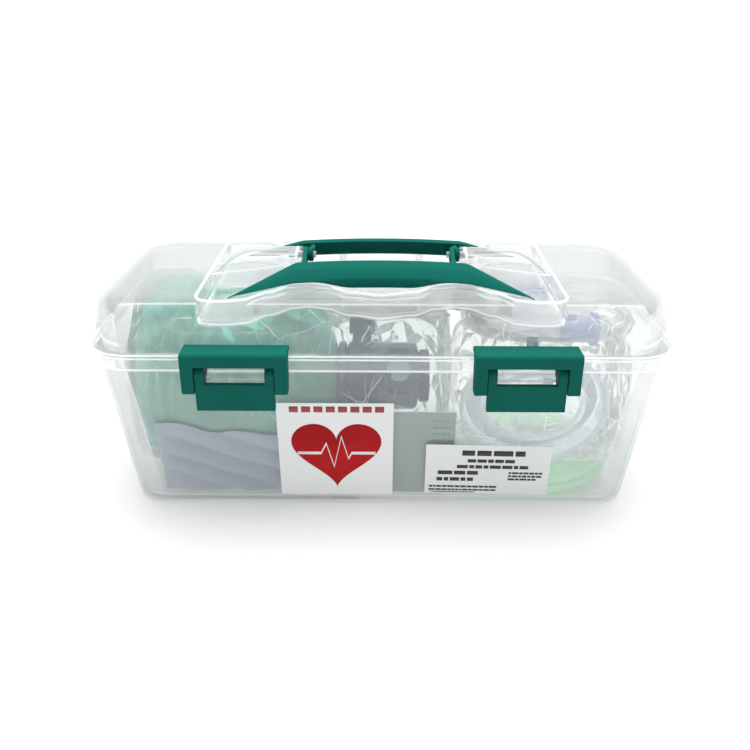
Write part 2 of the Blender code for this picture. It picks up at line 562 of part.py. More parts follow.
def make_mask(clear, cushion_mat, hook_mat):
    rings = []
    for k in range(10):
        angle = 2 * math.pi * k / 10
        swell = CUSHION_R * math.cos(angle)
        rings.append(ellipse_ring(MASK_HALF_X + swell, MASK_HALF_Z + swell, MASK_Y + CUSHION_R * math.sin(angle)))
    settle(loft("cushion", rings, caps=False), "mask_cushion", cushion_mat)

    start = MASK_Y + CUSHION_R + GAP
    outside = ((40.0, 33.0, 0.0), (38.4, 31.6, 6.0), (33.0, 27.4, 15.0), (24.0, 21.0, 23.0), (13.6, 13.6, 27.0),
               (12.6, 12.6, 28.0), (12.6, 12.6, 42.0))
    inside = ((11.1, 11.1, 42.0), (11.1, 11.1, 27.0), (22.4, 19.4, 21.2), (31.2, 25.6, 13.6), (36.4, 29.6, 5.4),
              (37.6, 30.6, 0.0))
    rings = [ellipse_ring(a, b, start + depth) for a, b, depth in outside + inside]
    settle(loft("dome", rings, caps=False), "mask_dome", clear)

    top = start + 30.0
    ring = pipe("ring", top, top + 3.0, 13.0, 20.0, (MASK_X, 0, MASK_Z), "Y", 28)
    for k in range(4):
        angle = math.radians(45 + 90 * k)
        x, z = MASK_X + 22.5 * math.cos(angle), MASK_Z + 22.5 * math.sin(angle)
        hook = box("hook", (x - 4.5, top, z - 4.5), (x + 4.5, top + 3.0, z + 4.5))
        combine(ring, "UNION", hook)
    settle(ring, "mask_hook_ring", hook_mat)
    plug = rod("plug", MASK_Z + MASK_HALF_Z + CUSHION_R + GAP, MASK_Z + MASK_HALF_Z + CUSHION_R + 6.0, 3.4,
               (MASK_X - 4.0, MASK_Y, 0), "Z", 14)
    settle(plug, "mask_inflation_plug", hook_mat)


# === oxygen tubing ======================================================================
def make_tubing(mat, end_mat):
    width, height = COIL_COLUMNS * TUBE_D, COIL_ROWS * TUBE_D
    low, high = COIL_MEAN_R - width / 2, COIL_MEAN_R + width / 2
    foot, top = COIL_FOOT_Z, COIL_FOOT_Z + height
    ring = turn("coil", [(foot, low + 2), (foot, high - 2), (foot + 2, high), (top - 2, high), (top, high - 2),
                         (top, low + 2), (top - 2, low), (foot + 2, low)], (COIL_X, COIL_Y, 0), "Z", 28)
    settle(ring, "oxygen_tube_coil", mat)
    for offset, word in ((-7.4, "bag_end"), (7.4, "wall_end")):
        centre = (COIL_X + offset, 0, COIL_FOOT_Z + 5.4)
        cup = turn("cup", [(-12, 2.0), (-12, 3.6), (-2, 4.6), (10, 5.2), (12, 4.6), (12, 3.0), (-2, 2.4)],
                   centre, "Y", 16)
        settle(cup, f"tube_connector_{word}", end_mat)


# === airways ============================================================================
def make_airway(word, mouth, sweep, bend_r, across, clear, blue):
    """An oropharyngeal airway lying on its side: a curved flat tube, its flange and bite block."""
    x, y, z = mouth
    half_z, half_r = across * 0.72, across * 0.42
    turn_sign = 1 if sweep > 0 else -1
    rings_out, rings_in = [], []
    stations = 7
    for k in range(stations):
        angle = math.radians(abs(sweep)) * k / (stations - 1)
        cx = x - 22.0 - bend_r * math.sin(angle)
        cy = y + turn_sign * bend_r * (1 - math.cos(angle))
        normal = Vector((-math.sin(angle), -turn_sign * math.cos(angle), 0))
        for rings, shrink in ((rings_out, 0.0), (rings_in, 1.6)):
            ring = []
            for m in range(10):
                a = 2 * math.pi * m / 10
                offset = normal * ((half_r - shrink) * math.cos(a))
                ring.append((cx + offset.x, cy + offset.y, z + (half_z - shrink) * math.sin(a)))
            rings.append(ring)
    body = loft("airway", rings_out + rings_in[::-1], caps=False)
    settle(body, f"airway_{word}", clear)
    steps = [(x - 21.6, half_r, half_z), (x - 3.0, half_r, half_z), (x - 3.0, half_r + 4, half_z + 1.6),
             (x, half_r + 4, half_z + 1.6)]
    inside = [(x, half_r - 2.0, half_z - 2.0), (x - 21.6, half_r - 2.0, half_z - 2.0)]
    rings = []
    for px, ry, rz in steps + inside:
        rings.append([(px, y + ry * math.cos(2 * math.pi * m / 12), z + rz * math.sin(2 * math.pi * m / 12))
                      for m in range(12)])
    bite = loft("bite", rings, caps=False)
    settle(bite, f"airway_{word}_bite_block", blue)


# === assembly ===========================================================================
def main():
    clear_scene()
    clear_pp = material("clear_polypropylene", (0.86, 0.88, 0.88), 0.3, 0.35)
    green = material("green_plastic", (0.02, 0.20, 0.15), 0.35)
    steel = material("steel", (0.55, 0.56, 0.57), 0.3)
    paper = material("paper", (0.82, 0.83, 0.82), 0.7)
    teal = material("teal_vinyl", (0.35, 0.64, 0.55), 0.35, 0.8)
    body = material("blue_grey_plastic", (0.30, 0.38, 0.46), 0.35)
    clear = material("clear_plastic", (0.72, 0.80, 0.82), 0.2, 0.5)
    silicone = material("silicone", (0.80, 0.82, 0.80), 0.5)
    lilac = material("lilac_film", (0.55, 0.59, 0.70), 0.4)
    cushion = material("pale_blue_vinyl", (0.55, 0.64, 0.80), 0.4)
    blue = material("blue_plastic", (0.16, 0.18, 0.62), 0.35)
    tube_green = material("green_tubing", (0.35, 0.72, 0.52), 0.3)

    make_tray(clear_pp)
    make_lid(clear_pp)
    make_hinge_pins(steel)
    make_handle(green, steel)
    make_latches(green)
    make_papers(paper)

    valve_frame = bpy.data.objects.new("valve_frame", None)
    bpy.context.scene.collection.objects.link(valve_frame)
    valve_frame.location = Vector((VALVE_X, AXIS_Y, AXIS_Z)) * MM
    valve_frame.rotation_euler = (math.radians(VALVE_TILT), 0, 0)
    make_bag(teal)
    make_bag_collars(body)
    make_patient_valve(valve_frame, body, clear, silicone, steel)
    make_intake(body, clear, silicone)
    make_reservoir(lilac, body)
    make_mask(clear, cushion, body)
    make_tubing(tube_green, clear)
    make_airway("large", (126.0, -34.0, 107.6), 62, 58.0, 12.0, clear, blue)
    make_airway("small", (112.0, 36.0, 108.0), -55, 50.0, 11.0, clear, blue)


main()
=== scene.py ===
"""Looks of the resuscitator kit in its clear carry case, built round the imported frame.

Sizes are in millimetres in the frame's own axes; meshes are made in metres.
"""
import math
import random

import bmesh
import bpy
import numpy as np
from mathutils import Matrix, Vector, noise


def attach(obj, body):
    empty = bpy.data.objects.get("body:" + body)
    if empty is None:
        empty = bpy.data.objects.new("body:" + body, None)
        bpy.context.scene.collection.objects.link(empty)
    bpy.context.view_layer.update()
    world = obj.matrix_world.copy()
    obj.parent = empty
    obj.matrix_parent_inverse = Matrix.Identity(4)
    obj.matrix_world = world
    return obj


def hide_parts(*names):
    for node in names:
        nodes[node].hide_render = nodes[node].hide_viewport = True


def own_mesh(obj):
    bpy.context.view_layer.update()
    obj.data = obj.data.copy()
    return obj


MM = 0.001
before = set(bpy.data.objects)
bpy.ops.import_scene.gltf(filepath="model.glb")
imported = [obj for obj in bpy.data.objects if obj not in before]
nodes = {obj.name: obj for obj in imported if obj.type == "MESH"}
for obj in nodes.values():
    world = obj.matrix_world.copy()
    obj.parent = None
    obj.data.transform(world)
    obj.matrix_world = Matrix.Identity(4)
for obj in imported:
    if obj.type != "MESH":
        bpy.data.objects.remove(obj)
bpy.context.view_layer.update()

# --- case, as in the CAD
CASE_LENGTH, CASE_DEPTH, RIM_Z, LID_TOP_Z = 335.6, 144.0, 104.2, 134.0
WALL, GAP, CORNER_R, SKIRT = 2.0, 0.35, 28.0, 8.2
WALL_FOOT_INSET, WALL_FOOT_Z, WALL_HEAD_INSET, WALL_HEAD_Z = 15.6, 4.0, 4.6, 95.0
HINGE_Y, HINGE_Z, HINGE_X, KNUCKLE_R, HINGE_PIN_R, KNUCKLE_LONG = 75.8, 104.35, 68.0, 3.2, 1.4, 14.0
POCKET_FLOOR_Z, POCKET_END_X, POCKET_END_R = 120.0, 102.0, 9.0
POCKET_WAIST = ((0, 50), (18, 45), (32, 34.5), (42, 31.5), (50, 33.5), (63, 45), (76, 58), (86, 60.5))
TOWER_X0, TOWER_X1, TOWER_TOP_Z, TOWER_SHOULDER_Z, TOWER_HALF = 50.0, 103.3, 146.0, 139.6, 11.0
PIVOT_Z, PIVOT_PIN_R, EAR_R, EAR_THICK, EAR_OUTER_X = 142.0, 1.9, 4.4, 2.8, 47.2
GRIP_TOP_Z, GRIP_INNER, SPAN, SHOULDER, TIP_Z, TIP_Y = 144.4, 20.0, 87.0, 50.0, 128.5, 41.0
LATCH_X, BAR_Y, BAR_Z, BAR_R = 79.0, -78.3, 98.2, 4.0
LEVER_WIDE, LEVER_EAR, LEVER_THICK, LEVER_FACE_Y = 43.0, 5.2, 3.0, -84.0
LEVER_FOOT_Z, LEVER_TOP_Z = 78.2, 93.8
FRAME_WIDE, FRAME_FACE_Y, FRAME_FOOT_Z, FRAME_TOP_Z, FRAME_OPENING_Z = 57.5, -84.6, 88.4, 111.6, 104.2
HOOK_UNDER_Z, HOOK_END_Y = 108.6, -69.6
FRAME_PIN_Y, FRAME_PIN_Z, FRAME_PIN_R = -82.2, 91.2, 1.4
AXIS_Y, AXIS_Z, BAG_R, BAG_WALL = 3.0, 59.5, 55.0, 1.5
MASK_X, MASK_Y, MASK_Z = 92.0, -42.0, 60.5
MASK_HALF_X, MASK_HALF_Z, CUSHION_R = 36.0, 29.0, 8.8
TUBE_D, COIL_X, COIL_Y, COIL_FOOT_Z = 6.0, 98.0, 0.0, 2.6
LABEL_LIFT = GAP + 0.3          # front of a label over the wall
PRINT = 0.06                    # height of the ink over its label


# --- camera
def make_camera():
    look_at = Vector((-3.6, 0.0, 61.1)) * MM
    elevation, yaw, roll = (math.radians(angle) for angle in (25.08, 0.27, 0.17))
    distance = 527.2 * MM
    level = math.cos(elevation)
    away = Vector((level * math.sin(yaw), -level * math.cos(yaw), math.sin(elevation)))
    data = bpy.data.cameras.new("camera")
    data.lens = 39.0                # millimetres
    camera = bpy.data.objects.new("camera", data)
    bpy.context.scene.collection.objects.link(camera)
    turn_to = (-away).to_track_quat("-Z", "Y").to_matrix().to_4x4()
    camera.matrix_world = (Matrix.Translation(look_at + away * distance) @ turn_to
                           @ Matrix.Rotation(roll, 4, "Z"))
    bpy.context.scene.camera = camera


# --- materials
class Shader:
    """A small builder for the nodes of a material or a world."""

    def __init__(self, owner, output="ShaderNodeOutputMaterial", coords="Object"):
        owner.use_nodes = True
        self.owner = owner
        self.tree = owner.node_tree
        self.tree.nodes.clear()
        self.out = self.node(output)
        self.coords = self.node("ShaderNodeTexCoord").outputs[coords]

    def node(self, kind, inputs=(), **values):
        """A node with a socket or a value for each named or numbered input; values are its settings
        or, where it has no such setting, inputs too."""
        made = self.tree.nodes.new(kind)
        for key, value in values.items():
            if hasattr(made, key):
                setattr(made, key, value)
            else:
                made.inputs[key.replace("_", " ")].default_value = value
        for key, source in dict(inputs).items():
            if isinstance(source, bpy.types.NodeSocket):
                self.tree.links.new(source, made.inputs[key])
            else:
                made.inputs[key].default_value = source
        return made

    def noise(self, scale, detail=3.0):
        made = self.node("ShaderNodeTexNoise", {"Vector": self.coords}, Scale=scale, Detail=detail)
        return made.outputs["Fac"]

    def math(self, operation, *inputs):
        return self.node("ShaderNodeMath", enumerate(inputs), operation=operation).outputs[0]

    def mix(self, share, first, second):
        return self.node("ShaderNodeMixShader", {0: share, 1: first, 2: second}).outputs[0]

    def between(self, source, low, high, start=0.3, end=0.7):
        """A value from low to high as the source goes from start to end."""
        return self.node("ShaderNodeMapRange", enumerate((source, start, end, low, high))).outputs[0]

    def ramp(self, source, stops):
        """Colours between (position, colour) stops."""
        made = self.node("ShaderNodeValToRGB", {"Fac": source})
        while len(made.color_ramp.elements) < len(stops):
            made.color_ramp.elements.new(0.5)
        for element, (position, colour) in zip(made.color_ramp.elements, stops):
            element.position = position
            element.color = (*colour, 1)
        return made.outputs[0]

    def tint(self, source, colour, darker, lighter):
        return self.ramp(source, ((0.3, shade(colour, darker)), (0.7, shade(colour, lighter))))

    def bump(self, source, depth, under=None):
        made = self.node("ShaderNodeBump", {"Height": source}, Strength=1.0, Distance=depth)
        if under:
            self.tree.links.new(under, made.inputs["Normal"])
        return made.outputs[0]

    def creases_and_highlight(self, share, links):
        """Facets of crumpled film: tilts the normal and returns a painted highlight along each crease line.
        """
        lines = None
        for scale, stretch, wide in ((34.0, (1, 1, 1), 0.016), (70.0, (1.5, 1, 0.7), 0.022)):
            bent = self.node("ShaderNodeMapping", {"Vector": self.coords}, Scale=stretch)
            cells = self.node("ShaderNodeTexVoronoi", {"Vector": bent.outputs[0]}, feature="DISTANCE_TO_EDGE",
                              Scale=scale)
            links["Normal"] = self.bump(cells.outputs["Distance"], 0.9 / scale * 0.35, links.get("Normal"))
            line = self.between(cells.outputs["Distance"], share, 0.0, 0.0, wide)
            some = self.between(self.noise(scale * 0.8, 1.0), 0.0, 1.0, 0.50, 0.62)
            line = self.math("MULTIPLY", line, some)
            lines = self.math("MAXIMUM", line, lines) if lines else line
        return lines

    def finish(self, shader):
        self.tree.links.new(shader, self.out.inputs["Surface"])
        return self.owner


def shade(colour, factor):
    return tuple(min(1.0, c * factor) for c in colour)


def solid(name, colour, roughness, grain=0.0, grain_scale=1400.0, patch=0.08, patch_scale=45.0, **settings):
    """Opaque plastic, paper or metal: patchy colour and roughness, and a fine grain."""
    s = Shader(bpy.data.materials.new(name))
    patches = s.noise(patch_scale, 4.0)
    links = {"Base Color": s.tint(patches, colour, 1 - patch, 1 + patch),
             "Roughness": s.between(patches, roughness * 0.88, roughness * 1.12)}
    if grain:
        links["Normal"] = s.bump(s.noise(grain_scale, 2.0), grain * MM)
    return s.finish(s.node("ShaderNodeBsdfPrincipled", links, **settings).outputs[0])


def clear(name, colour, haze, edge_haze, roughness, gloss=0.8, mirror=0.12, wave=0.02, painted_glow=0.0,
          sheer=(1, 1, 1), creases_and_highlight=0.0):
    """See-through plastic: haze is how milky a face looks from the front, edge_haze edge on; mirror is
    the roughness of its gloss, and glow a painted glow, an emission standing in for the light that scatters
    along inside the wall; sheer tints what shows through, and crinkle is how strong the painted highlight
    along the creases of a film is."""
    s = Shader(bpy.data.materials.new(name))
    cloud = s.noise(28.0, 3.0)
    links = {"Roughness": s.between(cloud, roughness * 0.8, roughness * 1.25)}
    if wave:
        links["Normal"] = s.bump(s.noise(60.0, 2.0), wave * MM)
    line = s.creases_and_highlight(creases_and_highlight, links) if creases_and_highlight else None
    normal = {key: value for key, value in links.items() if key == "Normal"}
    tint = s.tint(cloud, colour, 0.96, 1.03)
    # The emission is a painted glow in place of light scattered through the plastic; it is no lamp.
    face = s.node("ShaderNodeBsdfPrincipled", dict(links, **{"Base Color": tint}), Specular_IOR_Level=0.1,
                  Emission_Color=(*colour, 1), Emission_Strength=painted_glow)
    through = s.node("ShaderNodeBsdfTranslucent", {"Color": tint})
    milk = s.mix(0.42, face.outputs[0], through.outputs[0])
    facing = s.node("ShaderNodeLayerWeight", normal, Blend=0.25)
    milky = s.between(facing.outputs["Facing"], haze, edge_haze, 0.30, 0.92)
    # Crease lines raise the milky share: a painted highlight along each crease.
    if line:
        milky = s.math("MAXIMUM", milky, line)
    mixed = s.mix(milky, s.node("ShaderNodeBsdfTransparent", Color=(*sheer, 1)).outputs[0], milk)
    if not gloss:
        return s.finish(mixed)
    shine = s.node("ShaderNodeBsdfGlossy", normal, Color=(1, 1, 1, 1), Roughness=mirror)
    fresnel = s.node("ShaderNodeFresnel", normal, IOR=1.45)
    return s.finish(s.mix(s.math("MULTIPLY", fresnel.outputs[0], gloss), mixed, shine.outputs[0]))


def make_materials():
    # Each glow below is an emission that paints extra light on a piece that is no lamp.
    return {
        "case": clear("milky_polypropylene", (0.72, 0.755, 0.76), 0.08, 0.58, 0.30, gloss=0.6, mirror=0.10,
                      wave=0.015, painted_glow=0.26),
        "green": solid("green_polypropylene", (0.005, 0.106, 0.084), 0.6, grain=0.03, patch=0.05,
                       Specular_IOR_Level=0.05),
        "steel": solid("spring_steel", (0.60, 0.61, 0.62), 0.28, grain=0.01, Metallic=1.0),
        # The label paper's white emission is a painted glow that brightens the label; it is no lamp.
        "paper": solid("coated_label_paper", (0.76, 0.785, 0.78), 0.6, grain=0.02, grain_scale=900,
                       patch=0.012, Specular_IOR_Level=0.1, Emission_Color=(1, 1, 1, 1),
                       Emission_Strength=0.07),
        "leaflet": solid("thin_leaflet_paper", (0.36, 0.45, 0.42), 0.7, grain=0.03, grain_scale=700,
                         patch=0.03),
        "ink_red": solid("red_ink", (0.50, 0.024, 0.026), 0.6, grain=0.02, grain_scale=900, patch=0.04,
                         Specular_IOR_Level=0.0),
        "ink_title": solid("dark_red_ink", (0.38, 0.05, 0.07), 0.5, grain=0.02, grain_scale=900, patch=0.1),
        "ink_black": solid("grey_black_ink", (0.035, 0.037, 0.045), 0.5, grain=0.02, grain_scale=900,
                           patch=0.1),
        "ink_pale": solid("pale_blue_ink", (0.30, 0.42, 0.44), 0.6, patch=0.1),
        "teal": solid("teal_vinyl", (0.20, 0.56, 0.46), 0.34, grain=0.10, grain_scale=120, patch=0.06,
                      patch_scale=14, Subsurface_Weight=0.15, Subsurface_Scale=0.004),
        "valve": solid("blue_grey_polycarbonate", (0.05, 0.105, 0.15), 0.26, grain=0.015, patch=0.06),
        "clear": clear("clear_polycarbonate", (0.86, 0.91, 0.94), 0.10, 0.6, 0.1, gloss=1.0, painted_glow=0.3),
        "smoke": clear("blue_grey_clear_polycarbonate", (0.24, 0.34, 0.42), 0.22, 0.7, 0.2,
                       sheer=(0.52, 0.62, 0.68)),
        "silicone": solid("silicone", (0.36, 0.46, 0.46), 0.5, grain=0.03, patch=0.03),
        "lilac": solid("lilac_film", (0.40, 0.475, 0.555), 0.35, grain=0.12, grain_scale=90, patch=0.05,
                       patch_scale=20),
        # Bead material: a painted highlight with a painted glow along edges, partly the milky wall seen edge
        # on.
        "bead": clear("milky_edge_and_painted_highlight", (0.95, 0.97, 0.97), 0.42, 0.75, 0.4,
                      gloss=0, wave=0, painted_glow=0.6),
        "cushion": clear("pale_blue_vinyl", (0.80, 0.86, 0.93), 0.24, 0.6, 0.2, wave=0.06, painted_glow=0.88),
        "blue": clear("blue_polyethylene", (0.24, 0.29, 0.72), 0.22, 0.55, 0.35, painted_glow=0.2),
        "tube": clear("green_tinted_tube", (0.60, 0.86, 0.66), 0.42, 0.85, 0.16, wave=0.01, painted_glow=0.5),
        "film": clear("crinkled_film", (0.95, 0.97, 0.97), 0.12, 0.62, 0.09, mirror=0.16,
                      painted_glow=0.80, sheer=(0.945, 0.965, 0.955), creases_and_highlight=0.7),
        "bag_film": clear("grey_crinkled_film", (0.93, 0.96, 0.96), 0.11, 0.70, 0.09, mirror=0.16,
                          painted_glow=0.60, sheer=(0.87, 0.905, 0.895), creases_and_highlight=0.6),
    }


# --- mesh helpers
def from_bmesh(name, bm):
    """Close a bmesh made in millimetres into an object in metres, faces out."""
    bmesh.ops.remove_doubles(bm, verts=bm.verts, dist=1e-4)
    bmesh.ops.recalc_face_normals(bm, faces=bm.faces)
    bmesh.ops.scale(bm, vec=(MM, MM, MM), verts=bm.verts)
    mesh = bpy.data.meshes.new(name)
    bm.to_mesh(mesh)
    bm.free()
    obj = bpy.data.objects.new(name, mesh)
    bpy.context.scene.collection.objects.link(obj)
    return obj


def dress(obj, mat, smooth=38):
    """Give a mesh its material and smooth shading, broken at edges sharper than an angle unless it is 0."""
    obj.data.materials.clear()
    obj.data.materials.append(mat)
    obj.data.shade_smooth()
    if smooth:
        obj.data.set_sharp_from_angle(angle=math.radians(smooth))
    return obj


def place(obj, name, mat, body, stands_for=(), smooth=38, even=False):
    """Name a finished piece, give it its material and let it ride on its body; even keeps the
    shading of its large flat faces flat."""
    dress(obj, mat, smooth)
    if even:
        step = obj.modifiers.new("even", "WEIGHTED_NORMAL")
        step.keep_sharp = True
        apply_modifiers(obj)
    obj.name = name
    obj.data.name = name
    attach(obj, body)
    if stands_for:
        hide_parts(*stands_for)
    return obj


def loft(name, rings, caps=True):
    """Skin rings of points, all with the same count; without caps the rings close up."""
    bm = bmesh.new()
    made = [[bm.verts.new(tuple(point)) for point in ring] for ring in rings]
    pairs = list(zip(made, made[1:]))
    if not caps:
        pairs.append((made[-1], made[0]))
    for low, high in pairs:
        for i in range(len(low)):
            j = (i + 1) % len(low)
            bm.faces.new((low[i], low[j], high[j], high[i]))
    if caps:
        bm.faces.new(made[0])
        bm.faces.new(made[-1])
    return from_bmesh(name, bm)


def box(name, low, high):
    outline = ((low[0], low[1]), (high[0], low[1]), (high[0], high[1]), (low[0], high[1]))
    return loft(name, [[(x, y, z) for x, y in outline] for z in (low[2], high[2])])


def prism(name, outline, start, end):
    """Extrude an outline of (y, z) points along X."""
    return loft(name, [[(x, y, z) for y, z in outline] for x in (start, end)])


def turn(name, profile, centre, steps):
    """Revolve a closed profile of (along, radius) points about a line along X."""
    bm = bmesh.new()
    columns = []
    for along, radius in profile:
        ring = []
        for k in range(steps if radius > 1e-6 else 1):
            angle = 2 * math.pi * k / steps
            spot = Vector((along, radius * math.cos(angle), radius * math.sin(angle)))
            ring.append(bm.verts.new(spot + Vector(centre)))
        columns.append(ring)
    for ring, after in zip(columns, columns[1:] + columns[:1]):
        if len(ring) == 1 and len(after) == 1:
            continue
        for k in range(steps):
            j = (k + 1) % steps
            corners = [ring[k % len(ring)], ring[j % len(ring)],
                       after[j % len(after)], after[k % len(after)]]
            bm.faces.new(list(dict.fromkeys(corners)))
    return from_bmesh(name, bm)


def rod(name, start, end, radius, centre=(0, 0, 0)):
    return turn(name, [(start, 0), (start, radius), (end, radius), (end, 0)], centre, 32)


def apply_modifiers(obj):
    bpy.context.view_layer.update()
    mesh = bpy.data.meshes.new_from_object(obj.evaluated_get(bpy.context.evaluated_depsgraph_get()))
    obj.modifiers.clear()
    obj.data = mesh
    return obj


def combine(target, operation, *tools):
    """Apply a Boolean with each tool in turn, then drop the tools."""
    for tool in tools:
        step = target.modifiers.new(operation, "BOOLEAN")
        step.operation = operation
        step.solver = "EXACT"
        step.object = tool
        apply_modifiers(target)
        bpy.data.objects.remove(tool, do_unlink=True)
    return target


def round_edges(obj, width, segments=3):
    step = obj.modifiers.new("round", "BEVEL")
    step.width = width * MM
    step.segments = segments
    step.limit_method = "ANGLE"
    step.angle_limit = math.radians(35)
    return apply_modifiers(obj)


def arc(centre, radius, start, end, steps):
    """Points round a centre from one angle to another, in degrees."""
    angles = [math.radians(start + (end - start) * k / steps) for k in range(steps + 1)]
    return [(centre[0] + radius * math.cos(a), centre[1] + radius * math.sin(a)) for a in angles]


def ease(t):
    """From 0 to 1 with a soft start and end."""
    return t * t * (3 - 2 * t)


def blend_table(table, x):
    """Smooth value through a short table of (x, value) points."""
    for (x0, v0), (x1, v1) in zip(table, table[1:]):
        if x <= x1:
            return v0 + (v1 - v0) * ease((x - x0) / (x1 - x0))
    return table[-1][1]


def spline(points, per):
    """Catmull-Rom curve through points, with per steps between neighbours."""
    pts = [Vector(p) for p in points]
    result = []
    for i in range(len(pts) - 1):
        a, b, c, d = pts[max(i - 1, 0)], pts[i], pts[i + 1], pts[min(i + 2, len(pts) - 1)]
        for k in range(per):
            t = k / per
            result.append(0.5 * ((2 * b) + (c - a) * t + (2 * a - 5 * b + 4 * c - d) * t * t
                                 + (3 * b - a - 3 * c + d) * t ** 3))
    result.append(pts[-1])
    return result


def soften(points, cut):
    """Round each corner of a closed outline with three points, cut back by at most a distance."""
    result = []
    count = len(points)
    for i in range(count):
        before, here, after = (Vector(points[(i + k) % count]) for k in (-1, 0, 1))
        a = here + (before - here).normalized() * min(cut, (before - here).length * 0.4)
        b = here + (after - here).normalized() * min(cut, (after - here).length * 0.4)
        result += [a, (a + b) / 4 + here / 2, b]
    return [(p.x, p.y) for p in result]


def case_ring(inset, z):
    """The case's rounded outline at a height, set in from the rim."""
    radius = CORNER_R - 0.6 * inset
    corner_x, corner_y = CASE_LENGTH / 2 - inset - radius, CASE_DEPTH / 2 - inset - radius
    points = []
    for quarter, (sx, sy) in enumerate(((1, 1), (-1, 1), (-1, -1), (1, -1))):
        points += arc((sx * corner_x, sy * corner_y), radius, 90 * quarter, 90 * quarter + 90, 14)
    return [(x, y, z) for x, y in points]


def front_wall_y(z):
    """Where the outside of the sloping front wall is at a height."""
    t = (z - WALL_FOOT_Z) / (WALL_HEAD_Z - WALL_FOOT_Z)
    return -CASE_DEPTH / 2 + WALL_FOOT_INSET + (WALL_HEAD_INSET - WALL_FOOT_INSET) * t


# --- oxygen tube
def make_tube(m):
    """2 m of tube: from one connector out through a flat spiral, back over it, to the other."""
    pitch, first_r, low_z, high_z = TUBE_D * 1.01, 24.4, COIL_FOOT_Z + 3.1, COIL_FOOT_Z + 9.2
    end_z, reach, bend = COIL_FOOT_Z + 5.4, 7.4, 12.0
    points = []
    for k, (x, y) in enumerate(arc((bend - reach, -12.0), bend, 180, 270, 8)):  # out of one connector
        points.append((x, y, end_z + (low_z - end_z) * ease(k / 8)))
    start = math.atan2(points[-1][1], points[-1][0])
    turns_low, per = 4.35, 24
    out_r = first_r + pitch * turns_low
    for k in range(1, int(turns_low * per) + 1):
        a = start + 2 * math.pi * k / per
        r = first_r + pitch * k / per
        points.append((r * math.cos(a), r * math.sin(a), low_z))
    last = a
    inward_r, inward_a = 31.9, math.radians(-109.5)
    turns_high = (out_r - inward_r) / pitch
    whole = last + 2 * math.pi * turns_high
    extra = (inward_a - whole) % (2 * math.pi)
    sweep = whole + extra - last
    steps = int(sweep / (2 * math.pi) * per)
    for k in range(1, steps + 1):
        t = k / steps
        a = last + sweep * t
        r = out_r + (inward_r - out_r) * t
        climb = ease(min(1.0, k / (per * 0.45)))
        points.append((r * math.cos(a), r * math.sin(a), low_z + (high_z - low_z) * climb))
    big = 18.0
    for k, (x, y) in enumerate(arc((reach - big, -12.0), big, -81, 0, 9), 1):   # into the other
        fall = ease(max(0.0, (k / 10 - 0.3) / 0.7))
        points.append((x, y, high_z + 0.3 + (end_z - high_z - 0.3) * fall))
    path = [Vector((COIL_X + x, COIL_Y + y, z)) * MM for x, y, z in points]
    fine = spline(path, 3)
    data = bpy.data.curves.new("oxygen_tube", "CURVE")
    data.dimensions = "3D"
    data.bevel_depth = TUBE_D / 2 * MM
    data.bevel_resolution = 5
    data.use_fill_caps = True
    line = data.splines.new("POLY")
    line.points.add(len(fine) - 1)
    for point, where in zip(line.points, fine):
        point.co = (*where, 1.0)
    line.use_smooth = True
    tube = bpy.data.objects.new("oxygen_tube", data)
    bpy.context.scene.collection.objects.link(tube)
    data.materials.append(m["tube"])
    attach(tube, "case")
    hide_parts("oxygen_tube_coil")


# --- case
def hinge_knuckle(x, below):
    half = KNUCKLE_LONG / 2
    web_z = (HINGE_Z - 3.1, RIM_Z - 0.3) if below else (RIM_Z + 0.7, HINGE_Z + 3.1)
    web = box("web", (x - half, CASE_DEPTH / 2 - 1, web_z[0]), (x + half, HINGE_Y - 1.9, web_z[1]))
    return combine(rod("knuckle", x - half, x + half, KNUCKLE_R, (0, HINGE_Y, HINGE_Z)), "UNION", web)


def hinge_bore(side):
    return rod("bore", side * HINGE_X - 30, side * HINGE_X + 30, HINGE_PIN_R + GAP, (0, HINGE_Y, HINGE_Z))


def make_tray(m):
    """Tray with rounded foot, sloping walls, a rolled rim, latch bars and hinge knuckles."""
    skirt_z = RIM_Z - SKIRT
    head = WALL_HEAD_INSET
    slope = WALL_FOOT_INSET - WALL_HEAD_INSET
    profile = [(24.0, 0.0), (20.5, 0.0), (18.9, 0.3), (17.5, 0.95), (16.5, 1.95), (15.95, 3.0)]
    profile += [(WALL_FOOT_INSET - slope * k / 4, WALL_FOOT_Z + (WALL_HEAD_Z - WALL_FOOT_Z) * k / 4)
                for k in range(5)]
    profile += [(head, 101.2), (4.1, 102.2), (2.3, 102.2), (1.8, 101.6), (1.8, skirt_z + 0.4), (1.5, skirt_z),
                (0.4, skirt_z), (0.0, skirt_z + 0.5), (0.0, RIM_Z - 0.9), (0.3, RIM_Z - 0.25), (0.9, RIM_Z),
                (head + 1.4, RIM_Z), (head + WALL, RIM_Z - 0.6)]
    profile += [(head + WALL + slope * k / 4, WALL_HEAD_Z - 90.0 * k / 4) for k in range(5)]
    profile += [(18.2, 3.6), (19.2, 2.7), (21.0, 2.2), (24.0, 2.2)]
    tray = loft("case_tray_shell", [case_ring(*level) for level in profile])
    for side in (-1, 1):
        middle = side * LATCH_X
        half = LEVER_WIDE / 2
        bar = rod("bar", middle - half + 0.3, middle + half - 0.3, BAR_R, (0, BAR_Y, BAR_Z))
        half -= LEVER_EAR + 1.0
        web = box("web", (middle - half, BAR_Y, BAR_Z - 1.6),
                  (middle + half, -CASE_DEPTH / 2 + 1, BAR_Z + 1.6))
        combine(tray, "UNION", bar, web)
        for end in (-1, 1):
            combine(tray, "UNION", hinge_knuckle(side * HINGE_X + end * (KNUCKLE_LONG + 0.5), below=True))
    for side in (-1, 1):
        combine(tray, "DIFFERENCE", hinge_bore(side))
    place(tray, "case_tray_shell", m["case"], "case", ["case_tray"], even=True)


